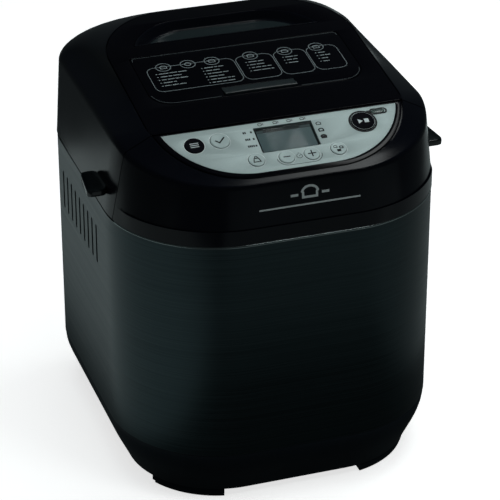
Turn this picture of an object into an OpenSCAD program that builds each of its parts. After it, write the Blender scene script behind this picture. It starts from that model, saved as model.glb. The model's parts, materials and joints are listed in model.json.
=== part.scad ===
// Bread machine with a tilting control panel, a hinged lid, a seed dispenser and a lift-out pan.
// Millimetres. Origin: middle of the footprint on the worktop. Front faces -Y, +X is right, +Z is up.

/* [Body] */
// Width of the casing
body_w = 250; // [246:1:254]
// Depth of the casing, front to back
body_d = 259; // [257:1:262]
// Corner radius of the two front corners
front_r = 85; // [80:1:88]
// Corner radius of the two rear corners
rear_r = 45; // [40:1:50]
// Height of the bottom edge of the metal wrap
wrap_z0 = 46; // [44:1:48]
// Height of the top edge of the metal wrap
wrap_z1 = 221; // [220:0.5:221]
// Thickness of the sheet metal
sheet_t = 0.8; // [0.6:0.1:1]
// Number of vent slots on each side
vent_count = 9; // [5:1:11]
// Spacing of the vent slots
vent_pitch = 11.75; // [8:0.25:13]

/* [Lid and panel] */
// Height of the break line between the lid top and the control panel
break_z = 287.9; // [286:0.1:289]
// Y of that break line
break_y = -70.2; // [-71:0.1:-69]
// Upward slope of the lid top towards the back
lid_slope = 8; // [7:0.5:9]
// Downward slope of the control panel towards the front
panel_slope = 22; // [20:0.5:24]
// Wall thickness of the plastic mouldings
wall_t = 3.2; // [3:0.1:3.4]
// Half width of the gloss strip along the lid top
strip_hw = 96.5; // [94:0.5:98]
// How far each finger lug stands out from the casing
lug_out = 13.5; // [8:0.5:16]

/* [Pan and drive] */
// Outside width of the bread pan
pan_w = 156; // [150:1:158]
// Outside depth of the bread pan
pan_d = 130; // [120:1:132]
// Height of the pan's rim
pan_z1 = 203; // [195:1:203]
// Y of the pan's middle and of the drive spindle
pan_y = 27; // [26:0.5:28]
// Length of the pan handle's arms
handle_l = 50; // [44:1:50]
// Radius of the belt's seat on the large pulley
big_seat_r = 41; // [36:1:42]
// Radius of the belt's seat on the motor pulley
small_seat_r = 7; // [6:0.5:8]

/* [Hidden] */
$fn = 48;

far = 400;               // a length larger than the object, for cutting blocks
eps = 0.2;               // thickness of the slices that a blended shell is built from
trim_end_y = 60;         // distance in front of the middle where the bright edge strip ends
trim_h = 1.6;            // height of the bright edge strip
part_gap = 0.3;          // clearance between pieces that move apart
arc_steps = 14;          // straight steps in each quarter-round corner of an outline

half_w = body_w / 2;
half_d = body_d / 2;

// Base
floor_z = 14;            // underside of the base tray
floor_t = 3;             // its thickness
tray_in = 12;            // how far the tray's bottom edge sits inside the casing
foot_in = 15.5;          // how far the feet sit inside the casing
foot_gap = 57.5;         // half the distance between the two feet of a pair
pad_h = 2.4;             // height of the rubber pads
screw_xy = [[-92, -25], [92, -25], [-92, 50], [92, 50]];

// Lid outline: the crease between the side walls and the sloping rim
crease_hw = half_w - 6.5;
crease_z = 281;
crease_front_z = 277;
crease_front_slope = 10.7;
crease_rear_r = 28;
shoulder_hw = 105;
shoulder_z = 278.9;
shoulder_slope = 5;
shoulder_l = 177.7;      // length of the shoulder along its slope
shoulder_rear_r = 35;
strip_back = 165.3;      // length of the lid top along its slope
strip_back_r = 60;
lid_z0 = 222.6;          // bottom edge of the lid
lug_z0 = 235;            // underside of the finger lugs
lug_h = 5.4;

// Control panel, in its own sloping plane
border_hw = strip_hw;
border_depth = 53.5;
border_r = 69;
fascia_hw = 91.5;
fascia_depth = 49;
fascia_r = 64;
fascia_t = 1.2;
carrier_t = 3.2;
press_travel = 0.8;
lcd_hw = 22;
lcd_y0 = -31.3;
lcd_y1 = -7;
// Button places on the panel: x, distance down the slope, radius
menu_at = [-68.2, -15.5, 7.3];
select_at = [-48.9, -14.3, 7.3];
weight_at = [-28.5, -37, 6.2];
minus_at = [-6.3, -38.4, 6];
plus_at = [12.5, -38.6, 6];
crust_at = [33, -37.5, 6];
start_at = [59.3, -15.4, 9];
BUTTONS = [menu_at, select_at, weight_at, minus_at, plus_at, crust_at, start_at];
led_x0 = 70;
led_x1 = 77;
led_y = -7.6;
led_r = 1.6;

// Hinge of the lid
hinge_y = 125.5;
hinge_z = 229.5;
hinge_r = 4;
hinge_pin_r = 1.5;
hinge_x = [-76, 76];     // middle of each hinge
hinge_half = 16;         // half the length of each hinge
lid_knuckle_half = 7.7;

// Dispenser flap, in the plane of the lid top
flap_hw = 82;
flap_y0 = 36;
flap_y1 = 103.7;
flap_r = 17;             // radius of its front corners
flap_rear_r = 4.5;
flap_t = 1.8;
flap_tab_x = 60;         // where the flap's two hinge tabs are
flap_pin_r = 0.5;
insert_t = 1.8;
pocket_t = 2;            // depth of the pocket that the insert lies in
// Viewing window, in the plane of the lid top
window_hw = 76;
window_y0 = 120;
window_y1 = 149;
window_rear_r = 45;
window_deep = 7;

// Dispenser box and its trap
box_hw = 38;
box_y0 = -24;
box_y1 = 18;
box_z0 = 272;
trap_axis_y = -24.8;
trap_axis_z = 269.6;
trap_pin_r = 1;

// Oven
oven_hw = 97;
oven_y0 = -54;
oven_y1 = 108;
oven_r = 18;
oven_z0 = 58;
oven_z1 = 217.4;
deck_z0 = 217.5;
ceiling_z = 272;         // underside of the lid's liner
element_hw = 88;
element_y0 = -46;
element_y1 = 100;
element_bend = 20;
element_z = 84;
element_r = 3.2;
terminal_x = 18;

// Pan
pan_z0 = 78;
pan_t = 1.5;
pan_r = 22;
skirt_r = 45;
rim_out = 2.4;
handle_pin_z = 208;
handle_pin_r = 2;
handle_x = 85.6;         // x of the handle's arms
handle_r = 2.3;
handle_bend = 14;
shaft_r = 4;
run_gap = 0.05;          // radial clearance of a shaft in its bearing
paddle_z0 = 91;
paddle_h = 20;

// Drive
pulley_z0 = 30;
pulley_h = 8.4;
belt_t = 2;
motor_x = 52;
motor_y = -88;
motor_shaft_r = 3;
bearing_r = 11;

gloss_black = [0.03, 0.03, 0.035];
satin_black = [0.08, 0.085, 0.09];
wrap_grey = [0.22, 0.27, 0.28];
silver = [0.62, 0.66, 0.66];
steel = [0.62, 0.63, 0.64];
white_part = [0.85, 0.85, 0.83];

// ---------- outlines ----------

function arc(cx, cy, r, a0) =
    [for (i = [0:arc_steps]) [cx + r * cos(a0 + 90 * i / arc_steps), cy + r * sin(a0 + 90 * i / arc_steps)]];

// Rounded rectangle from y0 to y1 with different front and rear corner radii
function rounded(hw, y0, y1, rf, rb) = concat(
    arc(hw - rf, y0 + rf, rf, -90), arc(hw - rb, y1 - rb, rb, 0),
    arc(-hw + rb, y1 - rb, rb, 90), arc(-hw + rf, y0 + rf, rf, 180));

// Flat-backed D: an arc of radius r at each front corner, cut off straight just below the break line
function d_side(hw, depth, r, a1) =
    [for (i = [0:arc_steps]) let (a = -90 + (a1 + 90) * i / arc_steps)
        [hw - r + r * cos(a), r - depth + r * sin(a)]];
function d_shape(hw, depth, r, back) =
    let (side = d_side(hw, depth, r, asin((depth - r - back) / r)))
    concat(side, [for (i = [arc_steps:-1:0]) [-side[i][0], side[i][1]]]);

// Straight in front, with an arc of radius r at each rear corner
function crescent_side(hw, y0, y1, r, a0) =
    [for (i = [0:arc_steps]) let (a = a0 + (90 - a0) * i / arc_steps)
        [hw - r + r * cos(a), y1 - r + r * sin(a)]];
function crescent(hw, y0, y1, r) =
    let (side = crescent_side(hw, y0, y1, r, asin((y0 - y1 + r) / r)))
    concat(side, [for (i = [arc_steps:-1:0]) [-side[i][0], side[i][1]]]);

module outline(inset) {
    polygon(rounded(half_w - inset, inset - half_d, half_d - inset, front_r - inset, rear_r - inset));
}

module slab(z0, z1, points) {
    translate([0, 0, z0])
        linear_extrude(z1 - z0) polygon(points);
}

module ring_wall(z0, z1, inset, t) {
    translate([0, 0, z0])
        linear_extrude(z1 - z0) difference() {
            outline(inset);
            outline(inset + t);
        }
}

module on_panel() {
    translate([0, break_y, break_z]) rotate([panel_slope, 0, 0]) children();
}

module on_top() {
    translate([0, break_y, break_z]) rotate([lid_slope, 0, 0]) children();
}

// Everything behind the seam between the front housing and the lid
module behind_seam(gap) {
    on_top() translate([-far / 2, gap, -far / 2]) cube([far, far, far]);
}

module ahead_of_seam(gap) {
    on_top() translate([-far / 2, -far - gap, -far / 2]) cube([far, far, far]);
}

// The whole upper body as one convex solid, drawn in by the given wall thickness
module cap(inset, z0) {
    hull() {
        translate([0, 0, z0]) linear_extrude(eps) outline(inset);
        slab(crease_z - inset - eps, crease_z - inset,
            rounded(crease_hw - inset, -48, half_d - 4.6 - inset, 8, crease_rear_r));
        translate([0, -64.5, crease_front_z - inset]) rotate([crease_front_slope, 0, 0])
            slab(-eps, 0, rounded(crease_hw - inset, -61.2 + inset, 14, front_r - 6, 6));
        translate([0, -55, shoulder_z - inset]) rotate([shoulder_slope, 0, 0])
            slab(-eps, 0, rounded(shoulder_hw - inset, 0, shoulder_l - inset, 8, shoulder_rear_r));
        on_top() slab(-eps - inset, -inset,
            rounded(strip_hw + 0.5 - inset, 0, strip_back - inset, 6, strip_back_r));
        on_panel() slab(-eps - inset, -inset,
            d_shape(border_hw + 0.5 - inset, border_depth + 0.5 - inset, border_r, 0));
    }
}

// ---------- base and casing ----------

module base_tray() {
    color(satin_black) difference() {
        union() {
            difference() {
                tray_form(0);
                translate([0, 0, floor_t]) tray_form(2.6);
                translate([0, 0, wrap_z0 - 0.01]) linear_extrude(10) outline(-1);
            }
            for (p = screw_xy) translate([p[0], p[1], floor_z]) cylinder(h = 20, r = 4.5);
        }
        for (p = screw_xy) translate([p[0], p[1], 0]) cylinder(h = 60, r = 1.5);
        for (p = screw_xy) translate([p[0], p[1], 0]) cylinder(h = floor_z + 1.2, r = 3.7);
        translate([-70, half_d - 20, 30]) rotate([-90, 0, 0]) cylinder(h = 30, r = 6.2);
        translate([-70, half_d - 3, 30]) rotate([-90, 0, 0]) cylinder(h = 10, r = 8.8);
    }
}

module tray_form(inset) {
    hull() {
        translate([0, 0, wrap_z0]) linear_extrude(eps) outline(0.8 + inset);
        translate([0, 0, 37]) linear_extrude(eps) outline(1.6 + inset);
        translate([0, 0, 29]) linear_extrude(eps) outline(4.2 + inset);
        translate([0, 0, 21]) linear_extrude(eps) outline(8 + inset);
        translate([0, 0, floor_z]) linear_extrude(eps) outline(tray_in + inset);
    }
}

// Four feet that follow the corners of the base
module corner_feet() {
    color(satin_black) intersection() {
        translate([0, 0, pad_h]) linear_extrude(floor_z - pad_h - 0.05) difference() {
            outline(foot_in);
            outline(foot_in + 16);
        }
        foot_corners();
    }
}

module foot_corners() {
    for (sx = [-1, 1]) for (sy = [-1, 1])
        translate([sx > 0 ? foot_gap : -foot_gap - far, sy > 0 ? 62 : -62 - far, 0]) cube([far, far, 40]);
}

module foot_pads() {
    color([0.05, 0.05, 0.05]) intersection() {
        linear_extrude(pad_h) difference() {
            outline(foot_in + 0.6);
            outline(foot_in + 15.4);
        }
        foot_corners();
    }
}

module metal_wrap() {
    color(wrap_grey) difference() {
        ring_wall(wrap_z0, wrap_z1, 0.4, sheet_t);
        translate([-far / 2, -far - trim_end_y + 0.1, wrap_z1 - trim_h - 0.05]) cube([far, far, far]);
        for (i = [0:vent_count - 1]) translate([-far / 2, -18.5 + vent_pitch * i, 0]) vent_slot();
    }
}

module vent_slot() {
    translate([0, -1.5, 166.5]) cube([far, 3, 28]);
    translate([0, 0, 166.5]) rotate([0, 90, 0]) cylinder(h = far, r = 1.5);
    translate([0, 0, 194.5]) rotate([0, 90, 0]) cylinder(h = far, r = 1.5);
}

// Bright edge strip under the front housing
module wrap_trim() {
    color([0.8, 0.82, 0.82]) intersection() {
        ring_wall(wrap_z1 - trim_h, wrap_z1, 0, 1.4);
        translate([-far / 2, -far - trim_end_y, 0]) cube([far, far, far]);
    }
}

module top_deck() {
    color(satin_black) difference() {
        union() {
            translate([0, 0, deck_z0]) linear_extrude(wrap_z1 - deck_z0) outline(1.5);
            for (x = hinge_x) for (s = [-1, 1]) body_knuckle(x + s * 12);
        }
        slab(deck_z0 - 1, wrap_z1 + 1, rounded(oven_hw, oven_y0, oven_y1, oven_r, oven_r));
        slab(deck_z0 - 1, wrap_z1 + 1, rounded(98, -108, -66, 60 / 2, 8));
        for (x = hinge_x) translate([x - hinge_half - 1, hinge_y, hinge_z]) rotate([0, 90, 0])
            cylinder(h = 2 * hinge_half + 2, r = hinge_pin_r);
    }
}

module body_knuckle(x) {
    translate([x - 4, hinge_y, hinge_z]) rotate([0, 90, 0]) cylinder(h = 8, r = hinge_r);
    translate([x - 4, hinge_y - hinge_r, deck_z0 + 1]) cube([8, 4.6, hinge_z - deck_z0 - 1]);
}

module hinge_pins() {
    color(steel) for (x = hinge_x)
        translate([x - hinge_half, hinge_y, hinge_z]) rotate([0, 90, 0])
            cylinder(h = 2 * hinge_half, r = hinge_pin_r);
}

module front_housing() {
    color(gloss_black) difference() {
        union() {
            difference() {
                intersection() {
                    cap(0, wrap_z1);
                    ahead_of_seam(part_gap);
                }
                intersection() {
                    cap(wall_t, wrap_z1 - 1);
                    ahead_of_seam(part_gap + wall_t);
                }
                on_panel() slab(-carrier_t - 0.1, 20, d_shape(border_hw + 0.1, border_depth + 0.1,
                    border_r, 0.6));
            }
            on_panel() slab(-carrier_t - 2.1, -carrier_t - 0.1,
                d_shape(border_hw + 1, border_depth + 1, border_r, 3.6));
        }
        on_panel() slab(-30, 20, d_shape(border_hw - 7, border_depth - 7, border_r - 4, 5.4));
    }
}

module cord_gland() {
    color(satin_black) translate([-70, 0, 30]) rotate([-90, 0, 0]) difference() {
        union() {
            translate([0, 0, 108]) cylinder(h = 19.5, r = 6.1);
            translate([0, 0, 126.6]) cylinder(h = 2.8, r = 8.5);
            translate([0, 0, 108]) cylinder(h = 10, r = 8.5);
        }
        translate([0, 0, 100]) cylinder(h = 40, r = 3.6);
    }
}

module housing_screws() {
    color(steel) for (p = screw_xy) translate([p[0], p[1], floor_z - 1.4]) {
        cylinder(h = 2.5, r = 3.3);
        cylinder(h = 19, r = 1.5);
    }
}

// ---------- control panel ----------

module panel_carrier() {
    color(gloss_black) on_panel() difference() {
        slab(-carrier_t, 0, d_shape(border_hw, border_depth, border_r, 0.8));
        slab(-fascia_t - 0.05, 1, d_shape(fascia_hw + 0.1, fascia_depth + 0.1, fascia_r, 0.8));
        for (b = BUTTONS) translate([b[0], b[1], -10]) cylinder(h = 20, r = b[2] - 1);
        translate([-lcd_hw + 1.5, lcd_y0 + 1.5, -10]) cube([2 * lcd_hw - 3, lcd_y1 - lcd_y0 - 3, 20]);
        led_slot(-10, 20, led_r - 0.4);
    }
}

module led_slot(z0, z1, r) {
    for (x = [led_x0, led_x1]) translate([x, led_y, z0]) cylinder(h = z1 - z0, r = r);
    translate([led_x0, led_y - r, z0]) cube([led_x1 - led_x0, 2 * r, z1 - z0]);
}

module fascia_panel() {
    color(silver) on_panel() difference() {
        slab(-fascia_t, 0, d_shape(fascia_hw, fascia_depth, fascia_r, 0.9));
        for (b = BUTTONS) translate([b[0], b[1], -5]) cylinder(h = 10, r = b[2] + 0.15);
        translate([-lcd_hw, lcd_y0, -5]) cube([2 * lcd_hw, lcd_y1 - lcd_y0, 10]);
        led_slot(-5, 5, led_r);
    }
}

module lcd_window() {
    color([0.45, 0.5, 0.48, 0.6]) on_panel() translate([0.1 - lcd_hw, lcd_y0 + 0.1, -fascia_t])
        cube([2 * lcd_hw - 0.2, lcd_y1 - lcd_y0 - 0.2, fascia_t - 0.15]);
}

module lcd_module() {
    color([0.3, 0.33, 0.3]) on_panel() difference() {
        translate([-lcd_hw - 0.5, lcd_y0 + 0.2, -carrier_t - 3.4]) cube([2 * lcd_hw + 1,
            lcd_y1 - lcd_y0 + 0.8, 3.3]);
        translate([-lcd_hw + 1, lcd_y0 + 1, -carrier_t - 0.6]) cube([2 * lcd_hw - 2, lcd_y1 - lcd_y0 - 2, 2]);
    }
}

module indicator_lens() {
    color([0.3, 0.55, 0.4]) on_panel() {
        led_slot(-fascia_t, -0.1, led_r - 0.05);
        led_slot(-carrier_t, -fascia_t, led_r - 0.45);
    }
}

// Board with a switch under each button and a lamp under the lens
module control_board() {
    color([0.1, 0.3, 0.16]) on_panel() {
        slab(-12.2, -10.6, d_shape(border_hw - 12, border_depth - 8, border_r - 6, 9));
        for (b = BUTTONS) translate([b[0] - 3, b[1] - 3, -10.6]) cube([6, 6, 3.4]);
        for (b = BUTTONS) translate([b[0], b[1], -7.2]) cylinder(h = 0.5, r = 1.7);
        translate([-20, -30, -10.6]) cube([40, 22, 3.8]);
    }
}

// Round key: its cap stands through the panel and its collar keeps it from falling out
module push_button(at, rise) {
    on_panel() translate([at[0], at[1], 0]) {
        translate([0, 0, -carrier_t - 1.6]) cylinder(h = 1.3, r = at[2] + 0.6);
        translate([0, 0, -carrier_t - 1.6]) cylinder(h = carrier_t, r = at[2] - 1.2);
        translate([0, 0, -fascia_t + 1]) cylinder(h = fascia_t - 1 + rise, r = at[2] - 0.1);
        translate([0, 0, -carrier_t]) cylinder(h = carrier_t, r = at[2] - 1.2);
        translate([0, 0, -carrier_t - 2.4]) cylinder(h = 1, r = 2.2);
    }
}

module menu_button() { color(satin_black) push_button(menu_at, 0.9); }
module select_button() { color(silver) push_button(select_at, 0.9); }
module weight_button() { color(silver) push_button(weight_at, 0.9); }
module minus_button() { color(silver) push_button(minus_at, 0.9); }
module plus_button() { color(silver) push_button(plus_at, 0.9); }
module crust_button() { color(silver) push_button(crust_at, 0.9); }
module start_button() { color(satin_black) push_button(start_at, 0.9); }

// ---------- oven ----------

module oven_liner() {
    color(steel) difference() {
        union() {
            slab(oven_z0, oven_z1, rounded(oven_hw, oven_y0, oven_y1, oven_r, oven_r));
            slab(oven_z1 - sheet_t, oven_z1, rounded(oven_hw + 4, oven_y0 - 4, oven_y1 + 4, oven_r + 4,
                oven_r + 4));
        }
        slab(oven_z0 + sheet_t, oven_z1 + 1, rounded(oven_hw - sheet_t, oven_y0 + sheet_t, oven_y1 - sheet_t,
            oven_r - sheet_t, oven_r - sheet_t));
        translate([0, pan_y, oven_z0 - 1]) cylinder(h = 4, r = 7);
        for (x = [-terminal_x, terminal_x]) translate([x, oven_y0 + 5, element_z]) rotate([90, 0, 0])
            cylinder(h = 10, r = element_r + 0.2);
        translate([40, oven_y0 + 5, 150]) rotate([90, 0, 0]) cylinder(h = 10, r = 3.1);
    }
}

module heating_element() {
    x = element_hw - element_bend;
    color([0.3, 0.28, 0.27]) translate([0, 0, element_z]) {
        for (s = [-1, 1]) {
            translate([s * element_hw, element_y0 + element_bend, 0]) rotate([-90, 0, 0])
                cylinder(h = element_y1 - element_y0 - 2 * element_bend, r = element_r);
            translate([s * terminal_x, element_y0, 0]) rotate([90, 0, 0]) cylinder(h = 30, r = element_r);
            translate([s * terminal_x, element_y0, 0]) sphere(r = element_r);
            translate([s < 0 ? -x : terminal_x, element_y0, 0]) rotate([0, 90, 0])
                cylinder(h = x - terminal_x, r = element_r);
        }
        translate([-x, element_y1, 0]) rotate([0, 90, 0]) cylinder(h = 2 * x, r = element_r);
        bend(x, element_y1 - element_bend, 0, element_bend, element_r);
        bend(-x, element_y1 - element_bend, 90, element_bend, element_r);
        bend(-x, element_y0 + element_bend, 180, element_bend, element_r);
        bend(x, element_y0 + element_bend, 270, element_bend, element_r);
    }
}

module bend(x, y, turn, bend_r, tube_r) {
    translate([x, y, 0]) rotate([0, 0, turn]) rotate_extrude(angle = 90)
        translate([bend_r, 0]) circle(r = tube_r);
}

module temperature_probe() {
    color(steel) translate([40, 0, 150]) rotate([90, 0, 0]) {
        translate([0, 0, 46]) cylinder(h = 24, r = 3);
        translate([0, 0, -oven_y0 + 0.2]) cylinder(h = 2, r = 6);
    }
}

// Steel frame that carries the oven and the spindle's bearings
module chassis_frame() {
    color(steel) difference() {
        union() {
            slab(50.5, 52.5, rounded(90, oven_y0 + 4, oven_y1 - 4, oven_r, oven_r));
            for (x = [-84, 76]) for (y = [-42, 88]) translate([x, y, floor_z + floor_t + 0.2])
                cube([8, 8, 34.5]);
            for (x = [-84, 76]) for (y = [-42, 88]) translate([x, y, 52]) cube([8, 8, 6]);
        }
        translate([0, pan_y, 40]) cylinder(h = 20, r = 14.1);
    }
}

module bearing_housing() {
    color([0.55, 0.56, 0.57]) translate([0, pan_y, 0]) difference() {
        union() {
            translate([0, 0, 40.5]) cylinder(h = 17.4, r = 14);
            translate([0, 0, 52.6]) cylinder(h = 5.3, r = 24);
        }
        translate([0, 0, 40]) cylinder(h = 8.5, r = bearing_r);
        translate([0, 0, 50.5]) cylinder(h = 10, r = bearing_r);
        translate([0, 0, 40]) cylinder(h = 20, r = 9);
    }
}

module spindle_bearings() {
    color(steel) translate([0, pan_y, 0]) for (z = [41.4, 50.6]) translate([0, 0, z]) difference() {
        cylinder(h = 7, r = bearing_r);
        translate([0, 0, -1]) cylinder(h = 9, r = shaft_r + run_gap);
    }
}

module drive_spindle() {
    color(steel) translate([0, pan_y, 0]) {
        translate([0, 0, 27]) cylinder(h = 38, r = shaft_r);
        translate([0, 0, 62]) cylinder(h = 4, r = 13);
        for (s = [-1, 1]) intersection() {
            translate([0, 0, 65]) cylinder(h = 8, r = 12.5);
            translate([-8, s > 0 ? 5 : -13, 65]) cube([16, 8, 8]);
        }
    }
}

module grooved_pulley(seat_r, bore_r, hub_r) {
    difference() {
        union() {
            cylinder(h = pulley_h, r = seat_r);
            cylinder(h = 0.9, r = seat_r + 3.2);
            translate([0, 0, pulley_h - 0.9]) cylinder(h = 0.9, r = seat_r + 3.2);
            cylinder(h = pulley_h, r = hub_r);
        }
        translate([0, 0, -1]) cylinder(h = 20, r = bore_r);
    }
}

module large_pulley() {
    color(white_part) translate([0, pan_y, pulley_z0]) difference() {
        grooved_pulley(big_seat_r, shaft_r, 10);
        for (a = [0:60:300]) rotate([0, 0, a]) translate([24, 0, -1]) cylinder(h = 20, r = 9);
    }
}

module small_pulley() {
    color(white_part) translate([motor_x, motor_y, pulley_z0]) grooved_pulley(small_seat_r, motor_shaft_r, 5);
}

module belt_loop(extra) {
    hull() {
        translate([0, pan_y]) circle(r = big_seat_r + part_gap + extra);
        translate([motor_x, motor_y]) circle(r = small_seat_r + part_gap + extra);
    }
}

module drive_belt() {
    color([0.06, 0.06, 0.06]) translate([0, 0, pulley_z0 + 1.3]) linear_extrude(pulley_h - 2.6) difference() {
        belt_loop(belt_t);
        belt_loop(0);
    }
}

module motor_stator() {
    color([0.45, 0.4, 0.36]) translate([motor_x, motor_y, 0]) difference() {
        union() {
            translate([0, 0, 60]) cylinder(h = 26, r = 28);
            translate([0, 0, 56]) cylinder(h = 34, r = 23);
        }
        translate([0, 0, 50]) cylinder(h = 50, r = 15.5);
    }
}

module motor_rotor() {
    color(steel) translate([motor_x, motor_y, 0]) {
        translate([0, 0, 28]) cylinder(h = 74, r = motor_shaft_r);
        translate([0, 0, 58]) cylinder(h = 30, r = 15);
        translate([0, 0, 98]) cylinder(h = 3, r = 6);
        for (a = [0:45:315]) rotate([0, 0, a]) translate([4, -0.8, 97]) cube([20, 1.6, 5]);
    }
}

module motor_bracket() {
    color(steel) translate([motor_x, motor_y, 0]) difference() {
        union() {
            for (z = [52, 91]) translate([0, 0, z]) {
                translate([-29, -8, 0]) cube([58, 16, 2.5]);
                cylinder(h = 2.5, r = 16);
            }
            for (s = [-1, 1]) translate([s * 33 - 4, -6, floor_z + floor_t + 0.1]) cube([8, 12, 76.4]);
        }
        translate([0, 0, 40]) cylinder(h = 60, r = motor_shaft_r + run_gap);
    }
}

module motor_capacitor() {
    color(white_part) {
        translate([-70, -96, 42]) cylinder(h = 46, r = 14);
        translate([-70, -96, floor_z + floor_t + 0.1]) cylinder(h = 26, r = 9);
    }
}

module power_board() {
    color([0.45, 0.35, 0.18]) {
        translate([-96, -77, 62]) cube([70, 1.6, 78]);
        translate([-90, -95.5, 100]) cube([22, 18.6, 28]);
        translate([-64, -89, 108]) cube([16, 12.1, 16]);
        translate([-46, -87, 108]) cube([16, 10.1, 16]);
        translate([-40, -76.9, 76]) rotate([90, 0, 0]) cylinder(h = 14, r = 8);
    }
}

module pan_clips() {
    color(steel) for (s = [-1, 1]) {
        translate([s * (skirt_r + 3.6) - 1, pan_y - 10, oven_z0 + sheet_t]) cube([2, 20, 12]);
        translate([s * (skirt_r + 7) - 4.4, pan_y - 10, oven_z0 + sheet_t]) cube([8.8, 20, 1.2]);
    }
}

// ---------- wiring ----------

module wire_run(points, r) {
    for (i = [0:len(points) - 2]) hull() {
        translate(points[i]) sphere(r = r, $fn = 8);
        translate(points[i + 1]) sphere(r = r, $fn = 8);
    }
}

module wiring_loom() {
    color([0.5, 0.1, 0.08]) {
        wire_run([[-18, -78, 84], [-18, -98, 84], [-18, -98, 104], [-36, -92, 104]], 1.3);
        wire_run([[18, -77, 84], [8, -80, 84], [8, -104, 84], [8, -104, 128], [-36, -92, 128]], 1.3);
        wire_run([[-70, 106, 30], [-70, 103, 24], [-96, 101, 24], [-104, 80, 24], [-104, -50, 24],
            [-90, -78, 55], [-88, -83, 60]], 1.5);
        wire_run([[-50, -80, 142], [-50, -92, 150], [-30, -92, 225], [-30, -92, 250]], 1.8);
    }
}

// ---------- lid ----------

module lid_shell() {
    color(gloss_black) difference() {
        intersection() {
            cap(0, lid_z0);
            behind_seam(part_gap);
        }
        intersection() {
            cap(wall_t, lid_z0 - 1);
            behind_seam(part_gap + wall_t);
        }
        on_top() slab(-pocket_t, 20, rounded(strip_hw + 0.15, -5, strip_back + 0.15, 5, strip_back_r));
        on_top() slab(-20, 1, rounded(box_hw + 0.1, 46.5, 89.5, 3, 3));
        on_top() slab(-20, 1, crescent(window_hw + 0.1, window_y0 - 0.1, window_y1 + 0.1, window_rear_r));
        on_top() translate([-flap_hw, flap_y1 - 3, -4]) cube([2 * flap_hw, 3.2, 4]);
        for (s = [-1, 1]) translate([s > 0 ? 100 : -150, -50.4, lug_z0 - part_gap])
            cube([50, 35, lug_h + 2 * part_gap]);
        for (x = hinge_x) translate([x - 17, 119, 215]) cube([34, 20, 19]);
    }
}

// Inner frame of the lid, with the hinge knuckles
module lid_frame() {
    color(satin_black) difference() {
        union() {
            intersection() {
                translate([0, 0, lid_z0 + 0.1]) linear_extrude(4) outline(wall_t + 0.9);
                behind_seam(part_gap + wall_t + 0.3);
            }
            for (x = hinge_x) {
                translate([x - lid_knuckle_half, hinge_y, hinge_z]) rotate([0, 90, 0])
                    cylinder(h = 2 * lid_knuckle_half, r = hinge_r);
                translate([x - lid_knuckle_half, 115, lid_z0 + 0.1]) cube([2 * lid_knuckle_half, 10, 9]);
            }
        }
        slab(lid_z0 - 1, lid_z0 + 4.2, rounded(101.2, oven_y0 - 3.2, oven_y1 + 3.2, 20, 20));
        for (x = hinge_x) translate([x - 30, hinge_y, hinge_z]) rotate([0, 90, 0])
            cylinder(h = 60, r = hinge_pin_r + run_gap);
        for (x = hinge_x) for (s = [-1, 1]) translate([x + s * 12 - 4.3, 118.5, 215]) cube([8.6, 20, 30]);
    }
}

// Finger lugs at the front of the lid's sides, each on a rib inside the shell
module lid_grips() {
    color(satin_black) for (side = [0, 1]) mirror([side, 0, 0]) {
        translate([115.4, -49, lid_z0 + 4.2]) cube([3.4, 33, 13]);
        finger_lug();
    }
}

module finger_lug() {
    tip = half_w + lug_out;
    translate([0, 0, lug_z0]) linear_extrude(lug_h)
        polygon([[118, -50], [tip - 3, -50], [tip - 0.8, -49.2], [tip, -47],
            [tip - 3, -19], [tip - 5, -16], [118, -16]]);
}

module top_insert() {
    color(gloss_black) on_top() difference() {
        union() {
            difference() {
                slab(-insert_t, 0, rounded(strip_hw, 0.6, strip_back, 3, strip_back_r));
                slab(-5, 5, rounded(flap_hw + 0.4, flap_y0 - 0.4, flap_y1 + 0.4, flap_r, 1));
            }
            for (s = [-1, 1]) translate([s * flap_tab_x - 2, flap_y1 - 2.2, -insert_t]) cube([4, 4,
                insert_t]);
        }
        slab(-5, 5, crescent(window_hw + 0.1, window_y0 - 0.1, window_y1 + 0.1, window_rear_r));
        translate([-70, flap_y1 - 1, -0.9]) rotate([0, 90, 0]) cylinder(h = 140, r = flap_pin_r);
    }
}

// The two short pins that the flap turns on, and the long one of the trap
module lid_pins() {
    color(steel) {
        on_top() for (s = [-1, 1]) translate([s * flap_tab_x - 5, flap_y1 - 1, -0.9]) rotate([0, 90, 0])
            cylinder(h = 10, r = flap_pin_r);
        translate([-37, trap_axis_y, trap_axis_z]) rotate([0, 90, 0]) cylinder(h = 74, r = trap_pin_r);
    }
}

module dispenser_flap() {
    color(gloss_black) on_top() difference() {
        union() {
            difference() {
                slab(-flap_t, 0, rounded(flap_hw, flap_y0, flap_y1, flap_r, flap_rear_r));
                translate([-100, flap_y1 - 1, -5]) cube([200, 10, 10]);
            }
            translate([-64, flap_y1 - 1, -0.9]) rotate([0, 90, 0]) cylinder(h = 128, r = 0.9);
        }
        for (s = [-1, 1]) translate([s * flap_tab_x - 2.3, flap_y1 - 3.5, -5]) cube([4.6, 10, 10]);
        for (s = [-1, 1]) translate([s * flap_tab_x - 5.5, flap_y1 - 1, -0.9]) rotate([0, 90, 0])
            cylinder(h = 11, r = flap_pin_r + run_gap);
        translate([-28.2, flap_y0 + 1.8, -0.8]) cube([56.4, 10.4, 5]);
    }
}

module flap_grip() {
    color([0.35, 0.38, 0.4]) on_top() {
        translate([-28, flap_y0 + 2, -0.8]) cube([56, 10, 1.8]);
        translate([-28, flap_y0 + 2, 1]) cube([56, 2, 1.2]);
    }
}

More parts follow.
